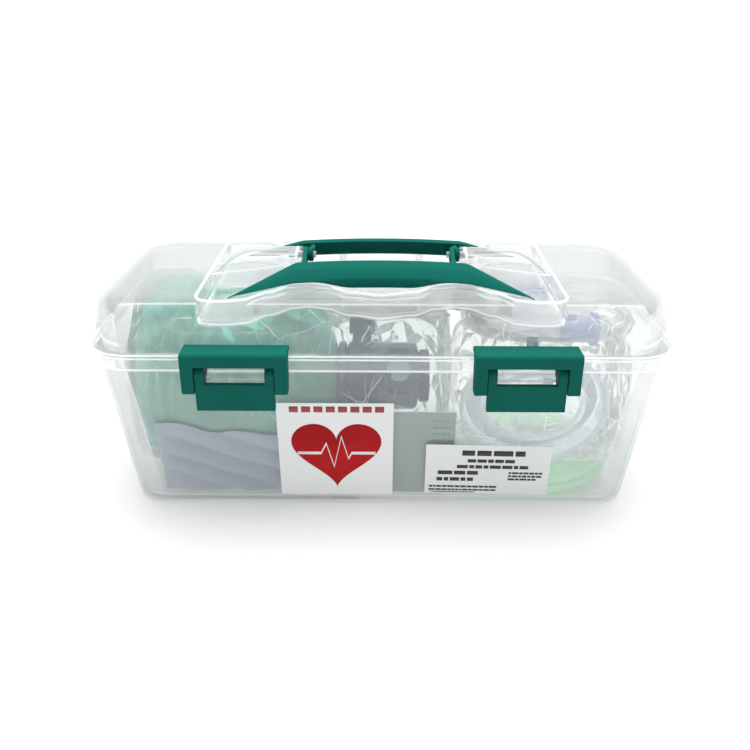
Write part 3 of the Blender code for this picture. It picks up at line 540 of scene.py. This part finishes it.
def pocket_outline(grow=0.0):
    """Outline of the handle's pocket, waisted beside the pivots."""
    quarter = [(x, blend_table(POCKET_WAIST, x) + grow)
               for x in range(0, int(POCKET_END_X - POCKET_END_R), 2)]
    radius = POCKET_END_R + grow
    width = POCKET_WAIST[-1][1] + grow
    quarter += arc((POCKET_END_X + grow - radius, width - radius), radius, 90, 0, 10)
    right_front = [(x, -y) for x, y in reversed(quarter)]
    left_front = [(-x, -y) for x, y in quarter[1:]]
    left_back = [(-x, y) for x, y in reversed(quarter[1:])]
    return quarter + right_front + left_front + left_back


def pocket_tool(name, levels):
    """Solid from pocket outlines at (grow, z) levels; a flare at the top rounds the lip."""
    return loft(name, [[(x, y, z) for x, y in pocket_outline(grow)] for grow, z in levels])


def tower_heights(t, shrink=0.0):
    """A spine's crown and shoulder, from its pivot end, t = 0, to the pocket's end, t = 1."""
    end_z = LID_TOP_Z - 0.6
    crown = TOWER_TOP_Z - (TOWER_TOP_Z - end_z) * max(0.0, (t - 0.5) / 0.5) ** 2 - shrink
    return crown, min(crown - 0.4, TOWER_SHOULDER_Z - (TOWER_SHOULDER_Z - end_z + 0.6) * t - shrink)


def tower(name, side, shrink=0.0, foot=POCKET_FLOOR_Z - 1.0):
    """Raised spine with a crowned top over straight shoulders, sloping to the pocket's end."""
    rings = []
    for k in range(21):
        x = TOWER_X0 + shrink + (TOWER_X1 - TOWER_X0 - 2 * shrink) * k / 20
        crown, shoulder = tower_heights(k / 20, shrink)
        half = TOWER_HALF - shrink
        rise = crown - shoulder
        arc = [(half * math.cos(a), shoulder + rise * math.sin(a) ** 0.9)
               for a in (math.pi / 2 * j / 7 for j in range(8))]
        arc[0] = (half - 0.35, shoulder + 0.1)
        section = [(half, foot), (half - 0.1, shoulder - 1.0)] + arc
        section += [(-y, z) for y, z in reversed(section[:-1])]
        rings.append([(side * x, y, z) for y, z in section])
    return loft(name, rings)


def make_lid(m):
    """Lid with the handle's pocket, pivot spines, latch pads and hinge knuckles."""
    outside = [(0.0, RIM_Z + GAP + 0.3), (0.0, 106.8), (0.3, 107.3), (0.9, 107.5), (2.6, 107.6), (3.2, 108.2),
               (4.4, 112.0), (5.6, 120.0), (6.4, 124.0), (7.2, 127.0), (8.2, 129.4), (9.6, 131.4),
               (11.2, 132.7), (13.0, 133.4), (15.0, 133.85), (17.0, LID_TOP_Z)]
    inside = [(6.6, RIM_Z - 5.0), (6.6, 112.0), (7.6, 120.0), (8.3, 123.8), (9.2, 126.4), (10.2, 128.3),
              (11.4, 129.8), (12.8, 130.8), (14.4, 131.4), (18.0, LID_TOP_Z - WALL)]
    lid = loft("lid_shell", [case_ring(0.4, RIM_Z + GAP)] + [case_ring(*level) for level in outside])
    core = loft("core", [case_ring(*level) for level in inside])
    floor = POCKET_FLOOR_Z
    combine(core, "DIFFERENCE", pocket_tool("block", [
        (WALL - 2.2, floor - WALL), (WALL - 0.9, floor - WALL + 0.5), (WALL, floor), (WALL, 150.0)]))
    combine(lid, "DIFFERENCE", core, pocket_tool("pocket", [
        (-2.4, floor), (-1.1, floor + 0.4), (-0.3, floor + 1.3), (0.0, floor + 2.8), (0.0, LID_TOP_Z - 1.9),
        (0.35, LID_TOP_Z - 0.8), (1.3, LID_TOP_Z + 0.1), (5.0, LID_TOP_Z + 0.9), (5.0, 150.0)]))
    for side in (-1, 1):
        boss = rod("boss", side * (EAR_OUTER_X + 0.4), side * (TOWER_X0 + 1), EAR_R + 0.4,
                   (0, 0, PIVOT_Z))
        combine(lid, "UNION", tower("tower", side), boss, hinge_knuckle(side * HINGE_X, below=False))
        pad = box("pad", (side * LATCH_X - 35.0, -69.2, RIM_Z + 4.4),
                  (side * LATCH_X + 35.0, -66.6, 118.0))
        combine(lid, "UNION", round_edges(pad, 0.8))
    for side in (-1, 1):
        pivot_bore = rod("bore", side * 45.0, side * 54.0, PIVOT_PIN_R + GAP, (0, 0, PIVOT_Z))
        hollow = tower("hollow", side, shrink=WALL - 0.3, foot=floor - 5.0)
        combine(lid, "DIFFERENCE", hollow, pivot_bore, hinge_bore(side))
    place(lid, "lid_shell", m["case"], "lid", ["lid"], even=True)


def bead(name, points, radius, m, body, closed=True):
    """Round line along the edge of the clear moulding: a painted highlight with a painted glow, partly where
    the milky wall is seen edge on.
    """
    path = [Vector(p) for p in points]
    count = len(path)
    rings = []
    for i, here in enumerate(path):
        if closed:
            along = path[(i + 1) % count] - path[i - 1]
        else:
            along = path[min(i + 1, count - 1)] - path[max(i - 1, 0)]
        turned = along.normalized().to_track_quat("X", "Z")
        rings.append([here + turned @ Vector((0, y, z)) for y, z in arc((0, 0), radius, 0, 315, 7)])
    return place(loft(name, rings, caps=not closed), name, m["bead"], body, smooth=60)


def make_beads(m):
    # Each bead is a painted highlight along a rim, lip or spine edge.
    bead("lid_edge_line", case_ring(0.75, RIM_Z + GAP + 0.65), 0.5, m, "lid")
    bead("tray_edge_line", case_ring(0.85, RIM_Z - 1.0), 0.55, m, "case")
    bead("tray_skirt_line", case_ring(0.75, RIM_Z - SKIRT + 0.65), 0.55, m, "case")
    bead("lid_pocket_line", [(x, y, LID_TOP_Z - 0.5) for x, y in pocket_outline(0.75)], 0.75, m, "lid")
    bead("lid_pocket_floor_line", [(x, y, POCKET_FLOOR_Z - 0.2) for x, y in pocket_outline(0.3)], 0.7, m,
         "lid")
    for side, word in ((-1, "left"), (1, "right")):
        for face, near in ((-1, "front"), (1, "rear")):
            edge = []
            for k in range(13):
                t = 0.02 + 0.94 * k / 12
                edge.append((side * (TOWER_X0 + (TOWER_X1 - TOWER_X0) * t), face * (TOWER_HALF - 0.8),
                             tower_heights(t)[1] - 0.7))
            bead(f"lid_spine_line_{word}_{near}", edge, 0.6, m, "lid", closed=False)
        arch = []
        for k in range(17):
            a = math.pi * k / 16
            rise = (TOWER_TOP_Z - TOWER_SHOULDER_Z) * math.sin(a) ** 0.9 - 0.9 if 0 < k < 16 else -6.0
            arch.append((side * (TOWER_X0 + 0.9), (TOWER_HALF - 0.9) * math.cos(a), TOWER_SHOULDER_Z + rise))
        bead(f"lid_spine_end_{word}", arch, 0.8, m, "lid", closed=False)


# --- handle
def handle_section(x):
    """Section of a handle half at x: distance from the centre plane and height."""
    reach = abs(x)
    wing = max(0.0, (reach - SHOULDER) / (SPAN - SHOULDER))
    top = GRIP_TOP_Z - 1.6 * (min(reach, SHOULDER) / SHOULDER) ** 2
    top += (TIP_Z - (GRIP_TOP_Z - 1.6)) * wing
    size = max(0.07, 1.0 - wing)
    inner = GRIP_INNER + (TIP_Y - GRIP_INNER) * wing
    lip = 0.3 + 4.1 * blend_table(((0, 1), (16, 1), (40, 0), (SPAN, 0)), reach)
    shape = ((0, 0), (4, 0.9), (11, -1.4), (16.4, -5.6), (17.6, -6.6 - 0.8 * lip), (16.0, -7.2 - lip),
             (14.4, -6.4 - 0.8 * lip), (13.2, -6.2), (9.4, -3.8), (5.6, -3.0), (4.2, -8.6), (2.4, -8.9))
    return [(inner + d * size, top + h * size) for d, h in soften(shape, 0.75)]


def make_handle_half(name, side, m):
    """Side -1 is the front half. Both halves are one moulding, turned half round."""
    stations = [SPAN * (k / 44 - 1) for k in range(89)]
    bar = loft("bar", [[(x, side * d, z) for d, z in handle_section(x)] for x in stations])
    for end in (-1, 1):
        far = EAR_OUTER_X if end == side else EAR_OUTER_X - EAR_THICK - 0.3
        top = handle_section(far)[0][1]
        outline = [(side * (GRIP_INNER + 3.0), top - 0.4), (side * 9.0, top + 0.3), (0, PIVOT_Z + EAR_R)]
        outline += [(side * y, z) for y, z in arc((0, PIVOT_Z), EAR_R, 105, 255, 10)]
        outline += [(0, PIVOT_Z - EAR_R), (side * (GRIP_INNER - 3.0), top - 6.5),
                    (side * (GRIP_INNER + 11.0), top - 7.5), (side * (GRIP_INNER + 11.0), top - 2.8)]
        ear = round_edges(prism("ear", outline, end * (far - EAR_THICK), end * far), 0.4, 2)
        combine(bar, "UNION", ear)
        combine(bar, "DIFFERENCE",
                rod("bore", end * 38.0, end * 50.0, PIVOT_PIN_R + GAP, (0, 0, PIVOT_Z)))
    place(bar, f"{name}_moulding", m["green"], name, [name], smooth=50)


# --- latches
def make_lever(side, word, m):
    """Snap lever: a plate with two ears round the tray's bar and two stub pins for the frame."""
    x, half = side * LATCH_X, LEVER_WIDE / 2
    back = LEVER_FACE_Y + LEVER_THICK
    outline = [(LEVER_FACE_Y, LEVER_FOOT_Z), (LEVER_FACE_Y, LEVER_TOP_Z), (back + 0.6, LEVER_TOP_Z),
               (back, LEVER_TOP_Z - 2.2), (back, LEVER_FOOT_Z + 1.6), (back - 0.8, LEVER_FOOT_Z)]
    lever = round_edges(prism("lever", outline, x - half, x + half), 0.45, 3)
    for end in (-1, 1):
        low, high = sorted((x + end * half, x + end * (half - LEVER_EAR)))
        ear = [(LEVER_FACE_Y + 0.05, LEVER_TOP_Z - 4.0), (LEVER_FACE_Y + 0.05, BAR_Z + 0.6)]
        ear += arc((BAR_Y, BAR_Z), 5.6, 168, -12, 15)
        ear.append((back - 0.6, LEVER_TOP_Z - 4.0))
        combine(lever, "UNION", round_edges(prism("ear", ear, low + 0.03, high - 0.03), 0.45, 3))
        combine(lever, "UNION", rod("stub", x + end * (half - 2.0), x + end * (half + 3.6), FRAME_PIN_R,
                                    (0, FRAME_PIN_Y, FRAME_PIN_Z)))
    combine(lever, "DIFFERENCE", rod("bore", x - 30, x + 30, BAR_R + 0.3, (0, BAR_Y, BAR_Z)))
    place(lever, f"latch_lever_{word}_moulding", m["green"], f"lever_{word}",
          [f"latch_lever_{word}"], even=True)


def make_frame(side, word, m):
    """Frame that hooks over the lid's rim and stands round the lever."""
    x, half = side * LATCH_X, FRAME_WIDE / 2
    corner_r = 2.6
    profile = [(FRAME_FACE_Y, FRAME_FOOT_Z)]
    profile += arc((FRAME_FACE_Y + corner_r, FRAME_TOP_Z - corner_r), corner_r, 180, 90, 6)
    profile += [(HOOK_END_Y, FRAME_TOP_Z), (HOOK_END_Y, HOOK_UNDER_Z), (-74.0, HOOK_UNDER_Z),
                (-74.8, HOOK_UNDER_Z - 1.2), (-74.8, FRAME_OPENING_Z + 0.4), (-77.6, FRAME_FOOT_Z)]
    body = round_edges(prism("frame", profile, x - half, x + half), 0.5)
    inner = LEVER_WIDE / 2 + GAP
    opening = box("opening", (x - inner, -95, FRAME_FOOT_Z - 5), (x + inner, -60, FRAME_OPENING_Z))
    bore = rod("bore", x - half + 3.4, x + half - 3.4, FRAME_PIN_R + GAP, (0, FRAME_PIN_Y, FRAME_PIN_Z))
    combine(body, "DIFFERENCE", opening, bore)
    place(body, f"latch_frame_{word}_moulding", m["green"], f"frame_{word}",
          [f"latch_frame_{word}"], even=True)


# --- labels
def on_wall(x, z, lift, tilt=0.0, tilt_x=0.0):
    """A point in front of the tray's front wall, on a sheet that is tilted about a place."""
    z = z - (x - tilt_x) * math.tan(math.radians(tilt))
    return (x, front_wall_y(z) - lift, z)


def ink(name, outline, m_ink, tilt=0.0, tilt_x=0.0, paper=LABEL_LIFT):
    """A thin printed patch over a sheet whose front is at a lift, from an outline of (x, z) points."""
    low, high = paper + 0.02, paper + 0.02 + PRINT
    patch = loft(name, [[on_wall(x, z, lift, tilt, tilt_x) for x, z in outline] for lift in (low, high)])
    place(patch, name, m_ink, "case", smooth=0)


def bar_outline(x0, x1, z0, z1):
    return [(x0, z0), (x1, z0), (x1, z1), (x0, z1)]


def make_emblem(m):
    """A plain heart with a pulse line, and a greeked title over it."""
    centre_x, centre_z, wide = -25.9, 37.2, 53.0
    heart = []
    for k in range(72):
        t = 2 * math.pi * k / 72
        x = 16 * math.sin(t) ** 3
        z = 13 * math.cos(t) - 5 * math.cos(2 * t) - 2 * math.cos(3 * t) - math.cos(4 * t)
        heart.append((centre_x + x * wide / 32, centre_z + (z + 2.0) * wide / 33))
    ink("emblem_heart", heart, m["ink_red"])
    pulse = [(-23, 0), (-9, 0), (-6, 7), (-1.5, -10), (3, 12), (7, -4), (9, 0), (23, 0)]
    line = [(centre_x + x, centre_z + 1.5 + z) for x, z in pulse]
    thick = 1.0
    outline = [(x, z + thick) for x, z in line] + [(x, z - thick) for x, z in reversed(line)]
    ink("emblem_pulse_line", outline, m["paper"], paper=LABEL_LIFT + 0.02 + PRINT)
    for k in range(8):
        x = -52.6 + 7.05 * k
        ink(f"emblem_title_{k}", bar_outline(x, x + 5.2, 67.6, 71.6), m["ink_title"])


def greek(name, x, end, stop, low, high, lengths, gap, rng, m_ink, **sheet):
    """Bars in place of words along a line, up to an end; none starts past a stop. Lengths and gap are
    in heights of the line."""
    tall = high - low
    word = 0
    while x < stop:
        long = min(tall * rng.uniform(*lengths), end - x)
        ink(f"{name}_{word}", bar_outline(x, x + long, low, high), m_ink, **sheet)
        x += long + tall * gap
        word += 1


def make_data_lines(m):
    """Greeked lines of a data label: bars where lettering would be."""
    rows = ((48.5, 86.0, 37.6, 41.4), (52.0, 83.0, 32.6, 35.0), (45.8, 88.5, 28.2, 30.6),
            (34.6, 59.0, 23.4, 26.2), (34.0, 58.5, 18.6, 21.2), (29.6, 70.8, 13.6, 15.0),
            (29.4, 70.4, 11.2, 12.4), (30.4, 57.8, 9.7, 10.4), (77.2, 97.4, 24.4, 25.8),
            (77.0, 97.0, 22.0, 23.4), (77.0, 95.8, 19.7, 21.1))
    rng = random.Random(11)
    for k, (x0, x1, low, high) in enumerate(rows):
        greek(f"data_line_{k}", x0, x1, x1 - (high - low), low, high, (1.0, 3.2), 0.35, rng,
              m["ink_black"], tilt=1.0, tilt_x=27.0)


def make_leaflet_print(m):
    """Pale greeked lines and a greeked heading on the leaflet behind the front wall."""
    rng = random.Random(3)
    for k in range(9):
        low = 59.0 - 4.6 * k - (3.0 if k > 4 else 0.0)
        high = low + (3.4 if k == 8 else 1.3)
        greek(f"leaflet_line_{k}", 31.0 - rng.uniform(0, 1.5), 42.0, 41.0, low, high, (0.8, 2.6), 0.4, rng,
              m["ink_pale"], paper=-WALL - 0.8)


# --- bag and films
class Creases:
    """Random straight creases on a sheet that is addressed in millimetres (s, t)."""

    def __init__(self, seed, count, span, reach, height, width):
        rng = random.Random(seed)
        self.lines = []
        for _ in range(count):
            s, t = rng.uniform(0, span[0]), rng.uniform(0, span[1])
            angle = rng.uniform(0, math.pi)
            self.lines.append((s, t, math.cos(angle), math.sin(angle), rng.uniform(*reach),
                               rng.uniform(*height) * rng.choice((-1, 1, 1)), rng.uniform(*width)))

    def at(self, s, t):
        """How far the creases lift the sheet at arrays of places."""
        total = np.zeros_like(s)
        for s0, t0, ds, dt, long, high, wide in self.lines:
            along = (s - s0) * ds + (t - t0) * dt
            across = np.abs(-(s - s0) * dt + (t - t0) * ds)
            fade = np.clip(1 - (np.abs(along) / (long / 2)) ** 2, 0, 1)
            total += high * fade * np.exp(-across / wide)
        return total


def lifted(points, height):
    """Move a grid of points along its own normals by a height field."""
    along = np.gradient(points, axis=0)
    padded = np.concatenate([points[:, -1:], points, points[:, :1]], axis=1)
    around = (padded[:, 2:] - padded[:, :-2]) / 2
    normal = np.cross(around, along)
    size = np.linalg.norm(normal, axis=2, keepdims=True)
    return points + normal / np.maximum(size, 1e-9) * height[..., None]


def soft_noise(points, scale, seed):
    """Smooth noise from -1 to 1 at an array of points."""
    flat = points.reshape(-1, 3)
    values = [noise.noise(Vector(p) * scale + Vector((seed, seed * 2, 0))) for p in flat]
    return np.array(values).reshape(points.shape[:-1])


def make_bag(m):
    """Bag with its tail pushed in, slack dents and ring creases."""
    outer = [(-22, 18.0), (-27, 18.2), (-30, 27), (-36, 40), (-47, 50), (-64, BAG_R), (-91, BAG_R + 0.2),
             (-118, BAG_R), (-134, 52.4), (-145, 45), (-149.5, 35), (-147, 29.4), (-138, 27.2),
             (-104, 26.4), (-100, 17)]
    profile = spline([(x, r, 0) for x, r in outer], 9)
    around = 200
    grid = np.zeros((len(profile), around, 3))
    angle = np.linspace(0, 2 * math.pi, around, endpoint=False)
    for k, p in enumerate(profile):
        grid[k, :, 0] = p.x
        grid[k, :, 1] = AXIS_Y + p.y * np.cos(angle)
        grid[k, :, 2] = AXIS_Z + p.y * np.sin(angle)
    x = grid[..., 0]
    radius = np.hypot(grid[..., 1] - AXIS_Y, grid[..., 2] - AXIS_Z)
    outside = np.clip((radius - 40) / 10, 0, 1)
    rings = -1.3 * np.exp(-((x + 133.5) / 1.3) ** 2) - 0.9 * np.exp(-((x + 128.0) / 1.0) ** 2)
    rings += -0.8 * np.exp(-((x + 50.0) / 1.6) ** 2)
    height = (soft_noise(grid, 0.022, 3) * 1.6 + rings - 0.9) * outside
    flutes = np.cos(angle * 44)[None, :] * 0.35 * np.exp(-((angle - math.pi / 2) / 0.5) ** 2)[None, :]
    grid = lifted(grid, height + flutes * outside)
    tail = ease(np.clip((-107 - x) / 12, 0, 1))     # the tail end stands up into the lid
    upper = np.clip(np.sin(angle), 0, 1)[None, :] ** 1.2
    grid[..., 2] += 12.5 * tail * upper * (radius / BAG_R) ** 2
    inner = []                                      # the inside of the wall, from the tail back to the neck
    for k in range(len(profile) - 1, -1, -1):
        p, q = profile[min(k + 1, len(profile) - 1)], profile[max(k - 1, 0)]
        slope = Vector((p.x - q.x, p.y - q.y)).normalized()
        ring = grid[k].copy()
        ring[:, 0] -= slope.y * BAG_WALL
        spoke = ring - np.array([0, AXIS_Y, AXIS_Z])
        spoke[:, 0] = 0
        ring += spoke / np.linalg.norm(spoke, axis=1, keepdims=True) * slope.x * BAG_WALL
        inner.append(ring)
    bag = loft("squeeze_bag_skin", list(grid) + inner, caps=False)
    place(bag, "squeeze_bag_skin", m["teal"], "case", ["squeeze_bag"])


# --- films and the folded reservoir
def film(name, rings, around, creases, mat, limits, seed):
    """Crinkled closed film from (x, centre y, centre z, half y, half z, power) rings, kept inside
    limits and under the handle's pocket."""
    angle = np.linspace(0, 2 * math.pi, around, endpoint=False)
    grid = np.zeros((len(rings), around, 3))
    for k, (x, cy, cz, hy, hz, power) in enumerate(rings):
        c, s = np.cos(angle), np.sin(angle)
        grid[k, :, 0] = x
        grid[k, :, 1] = cy + hy * np.sign(c) * np.abs(c) ** (2 / power)
        grid[k, :, 2] = cz + hz * np.sign(s) * np.abs(s) ** (2 / power)
    turn_round = np.linalg.norm(np.diff(grid, axis=1, append=grid[:, :1]), axis=2)
    t = np.cumsum(turn_round[len(rings) // 2])[None, :] * np.ones((len(rings), 1))
    step = np.linalg.norm(np.diff(grid, axis=0, prepend=grid[:1]), axis=2)
    s = np.cumsum(step.mean(axis=1))[:, None] * np.ones((1, around))
    height = creases.at(s, t) + soft_noise(grid, 0.045, seed) * 1.2
    count = np.arange(len(rings))
    fade = np.minimum(1, count / 4) * np.minimum(1, count[::-1] / 4)
    grid = np.clip(lifted(grid, height * fade[:, None]), *limits)
    under_pocket = np.abs(grid[..., 0]) < POCKET_END_X + WALL + 1.5
    ceiling = np.where(under_pocket, POCKET_FLOOR_Z - WALL - 0.6, LID_TOP_Z)
    grid[..., 2] = np.minimum(grid[..., 2], ceiling)
    place(loft(name, grid), name, mat, "case", smooth=0)


def between_rings(table, step):
    """Rings every step or so through a table of ring settings."""
    result = []
    for before, after in zip(table, table[1:]):
        reach = max(abs(a - b) for a, b in zip(before[:5], after[:5]))
        count = max(1, round(reach / step))
        for k in range(count):
            w = k / count
            result.append(tuple(a + (b - a) * w for a, b in zip(before, after)))
    result.append(table[-1])
    return result


def cushion_rings(low, high, blunt, step):
    """Rings of a pillow between two corners; blunt squares off its ends."""
    mid = [(a + b) / 2 for a, b in zip(low, high)]
    half = [(b - a) / 2 for a, b in zip(low, high)]
    rings = []
    count = round(2 * half[0] / step)
    for k in range(count + 1):
        t = -math.cos(math.pi * (0.015 + 0.97 * k / count))
        size = (1 - abs(t) ** blunt) ** (1 / blunt)
        rings.append((mid[0] + half[0] * t, mid[1], mid[2], half[1] * size, half[2] * size, 3.2))
    return rings


def make_films(m):
    """Crumpled clear pouches round the bag with its valve, the mask and the airways."""
    y, z = AXIS_Y, AXIS_Z
    table = [(-152.4, y, z, 3, 3, 2), (-152.6, y, z + 1, 30, 31, 2), (-151.4, y, z + 3, 46, 49, 2.05),
             (-147.5, y, z + 5, 53.0, 58.5, 2.05), (-140, y, z + 6.5, 56.4, 63.0, 2),
             (-122, y, z + 6.5, 57.2, 63.5, 2), (-112, y, z + 3, 57.2, 60.0, 2), (-105, y, z, 57.2, 57.0, 2),
             (-58, y, z, 57.2, 57.0, 2), (-44, y, z, 54, 54, 2), (-30, y - 4, z + 2, 50, 51, 2),
             (-10, y - 5, z + 3, 50, 51, 2.1), (20, y - 5, z + 3, 49, 50, 2.1),
             (32, y - 5, z + 3, 45, 48, 2.1), (39, y - 4, z + 2.5, 39, 46, 2.1),
             (42.6, y - 3, z + 2, 28, 43, 2), (43.5, y - 2, z + 2, 1.2, 42, 2)]
    film("bag_pouch", between_rings(table, 1.5), 240,
         Creases(5, 150, (260, 350), (18, 80), (0.5, 1.7), (0.7, 1.5)), m["bag_film"],
         ((-153, -58.5, 2.7), (43.6, 61.0, 129.8)), 4)
    film("mask_pouch", cushion_rings((44.6, -53.5, 19.0), (149.0, 16.0, 104.0), 9.0, 1.5), 220,
         Creases(8, 170, (140, 320), (14, 60), (0.6, 2.2), (0.7, 1.6)), m["film"],
         ((44.2, -54.6, 17.0), (149.6, 18.0, 105.0)), 7)
    film("airway_pouch", cushion_rings((50.0, -47.0, 99.6), (151.0, 47.0, 117.4), 4.0, 1.6), 170,
         Creases(12, 90, (130, 230), (14, 50), (0.4, 1.2), (0.7, 1.4)), m["film"],
         ((49.8, -48.5, 98.0), (151.6, 48.5, 117.5)), 9)


def make_reservoir(m):
    """Reservoir film folded flat in the wedge between the bag and the front wall."""
    x0, x1, z0, z1 = -134.0, -31.0, 4.0, 55.0
    rows, columns = 70, 44
    rng = random.Random(21)
    shift = [rng.uniform(-0.25, 0.25) for _ in range(40)]
    rings = []
    for i in range(rows + 1):
        x = x0 + (x1 - x0) * i / rows
        end = min(1.0, min(i, rows - i) / 5) ** 0.5
        top = z1 - 13.0 * (x - x0) / (x1 - x0) + 4.0 * noise.noise(Vector((x * 0.045, 0, 8)))
        front, back = [], []
        for j in range(columns + 1):
            z = z0 + (top - z0) * j / columns
            wall = front_wall_y(z) + WALL + 0.8
            reach = max(0.0, 57.9 ** 2 - (z - AXIS_Z) ** 2)
            bag = AXIS_Y - math.sqrt(reach) - 0.6
            phase = (z + 0.36 * (x - x0)) / 12.5
            phase += shift[int(phase) % 40] * 0.3 + 0.35 * noise.noise(Vector((x, z, 3)) * 0.03)
            saw = phase % 1.0
            edge = min(1.0, min(j, columns - j) / 3) ** 0.5
            fold = (saw ** 1.5 if saw < 0.82 else 0.74 * (1 - saw) / 0.18) * 6.5
            mouth = min(bag - 0.5, wall + (fold + 0.4) * 0.9 + (1 - edge * end) * 5.0)
            front.append((x, mouth, z))
            back.append((x, max(mouth + 0.5, min(bag, wall + 9.0 * edge * end + 6.0)), z))
        rings.append(front + back[::-1])
    place(loft("reservoir_folds", rings), "reservoir_folds", m["lilac"], "case",
          ["reservoir_bag"], smooth=50)


# --- mask
def ellipse_ring(scale_x, scale_z, y):
    return [(MASK_X + scale_x * math.cos(2 * math.pi * k / 96), y,
             MASK_Z + scale_z * math.sin(2 * math.pi * k / 96)) for k in range(96)]


def make_mask(m):
    """Air cushion and clear dome of the face mask."""
    rings = [ellipse_ring(MASK_HALF_X + swell, MASK_HALF_Z + swell, MASK_Y + y)
             for swell, y in arc((0, 0), CUSHION_R - 0.1, 0, 345, 23)]
    place(loft("cushion", rings, caps=False), "mask_cushion_skin", m["cushion"], "case",
          ["mask_cushion"], smooth=0)
    start = MASK_Y + CUSHION_R + GAP
    outside = [(40.0, 33.0, 0.0), (38.4, 31.6, 6.0), (33.0, 27.4, 15.0), (24.0, 21.0, 23.0),
               (13.6, 13.6, 27.0), (12.6, 12.6, 28.0), (12.6, 12.6, 42.0)]
    inside = [(11.1, 11.1, 42.0), (11.1, 11.1, 27.0), (22.4, 19.4, 21.2), (31.2, 25.6, 13.6),
              (36.4, 29.6, 5.4), (37.6, 30.6, 0.0)]
    fine = spline(outside, 5) + spline(inside, 5)
    place(loft("dome", [ellipse_ring(p.x, p.y, start + p.z) for p in fine], caps=False), "mask_dome_shell",
          m["clear"], "case", ["mask_dome"])


# --- relief valve
def make_relief_spring(m):
    """The relief valve's spring, carried over from its CAD node with a mesh of its own; the real spring
    closes up along its own line as the poppet lifts.
    """
    coil = bpy.data.objects.new("relief_spring", nodes["relief_valve_spring"].data.copy())
    bpy.context.scene.collection.objects.link(coil)
    place(coil, "relief_spring", m["steel"], "case", ["relief_valve_spring"])
    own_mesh(coil)


# --- carried CAD nodes
def dress_nodes(m):
    """Materials for the CAD nodes that show as they are."""
    looks = {
        "steel": ("hinge_pin_left", "hinge_pin_right", "handle_pin_left", "handle_pin_right"),
        "paper": ("front_label_emblem", "front_label_data"),
        "leaflet": ("instruction_leaflet",),
        "valve": ("bag_neck_collar", "valve_inlet_housing", "exhalation_port_cap", "patient_port",
                  "relief_valve_cap", "intake_valve_housing", "reservoir_bag_collar"),
        "smoke": ("valve_outlet_housing", "mask_hook_ring", "mask_inflation_plug"),
        "clear": ("reservoir_connector", "oxygen_nipple", "tube_connector_bag_end",
                  "tube_connector_wall_end", "airway_large", "airway_small"),
        "silicone": ("duckbill_valve", "exhalation_diaphragm", "relief_valve_poppet", "intake_valve_disc",
                     "reservoir_inlet_disc", "reservoir_relief_disc"),
        "blue": ("airway_large_bite_block", "airway_small_bite_block"),
    }
    for look, names in looks.items():
        for name in names:
            nodes[name].data.materials.clear()
            nodes[name].data.materials.append(m[look])


# --- studio
def make_studio():
    """White floor and a soft white room that is darker on the viewer's side."""
    scene = bpy.context.scene
    scene.view_settings.view_transform = "Standard"
    scene.cycles.transparent_max_bounces = 40
    scene.cycles.max_bounces = 10
    bm = bmesh.new()
    half = 300000.0
    bm.faces.new([bm.verts.new((x * half, y * half, -0.3)) for x, y in ((-1, -1), (1, -1), (1, 1), (-1, 1))])
    floor = solid("studio_floor", (0.44, 0.44, 0.44), 0.9, patch=0.0, Specular_IOR_Level=0.0,
                  Emission_Color=(1, 1, 1, 1), Emission_Strength=0.37)
    dress(from_bmesh("floor", bm), floor)
    world = bpy.data.worlds.new("studio")
    scene.world = world
    s = Shader(world, "ShaderNodeOutputWorld", "Generated")
    split = s.node("ShaderNodeSeparateXYZ", {0: s.coords})
    stops = ((0.0, 1.0), (0.17, 1.0), (0.25, 0.34), (0.62, 0.40), (0.85, 0.95))
    sky = s.ramp(split.outputs["Z"], [(height, (level,) * 3) for height, level in stops])
    nearer = s.between(split.outputs["Y"], -0.66, 0.25, -0.9, -0.05)
    over_horizon = s.between(split.outputs["Z"], 0.0, 1.0, 0.17, 0.25)
    strength = s.math("MULTIPLY_ADD", nearer, over_horizon, 1.0)
    s.finish(s.node("ShaderNodeBackground", {"Color": sky, "Strength": strength}).outputs[0])
    lamp = bpy.data.lights.new("ceiling", "SUN")
    lamp.energy = 4.6
    lamp.angle = math.radians(70)
    ceiling = bpy.data.objects.new("ceiling", lamp)
    scene.collection.objects.link(ceiling)
    ceiling.rotation_euler = (math.radians(-14), 0, 0)
    ceiling.visible_glossy = False


# --- assembly
make_camera()
looks = make_materials()
make_tube(looks)
make_studio()
make_tray(looks)
make_lid(looks)
make_beads(looks)
for half_name, half_side in (("handle_front", -1), ("handle_rear", 1)):
    make_handle_half(half_name, half_side, looks)
for latch_side, latch_word in ((-1, "left"), (1, "right")):
    make_lever(latch_side, latch_word, looks)
    make_frame(latch_side, latch_word, looks)
make_emblem(looks)
make_data_lines(looks)
make_leaflet_print(looks)
make_bag(looks)
make_films(looks)
make_reservoir(looks)
make_mask(looks)
make_relief_spring(looks)
dress_nodes(looks)
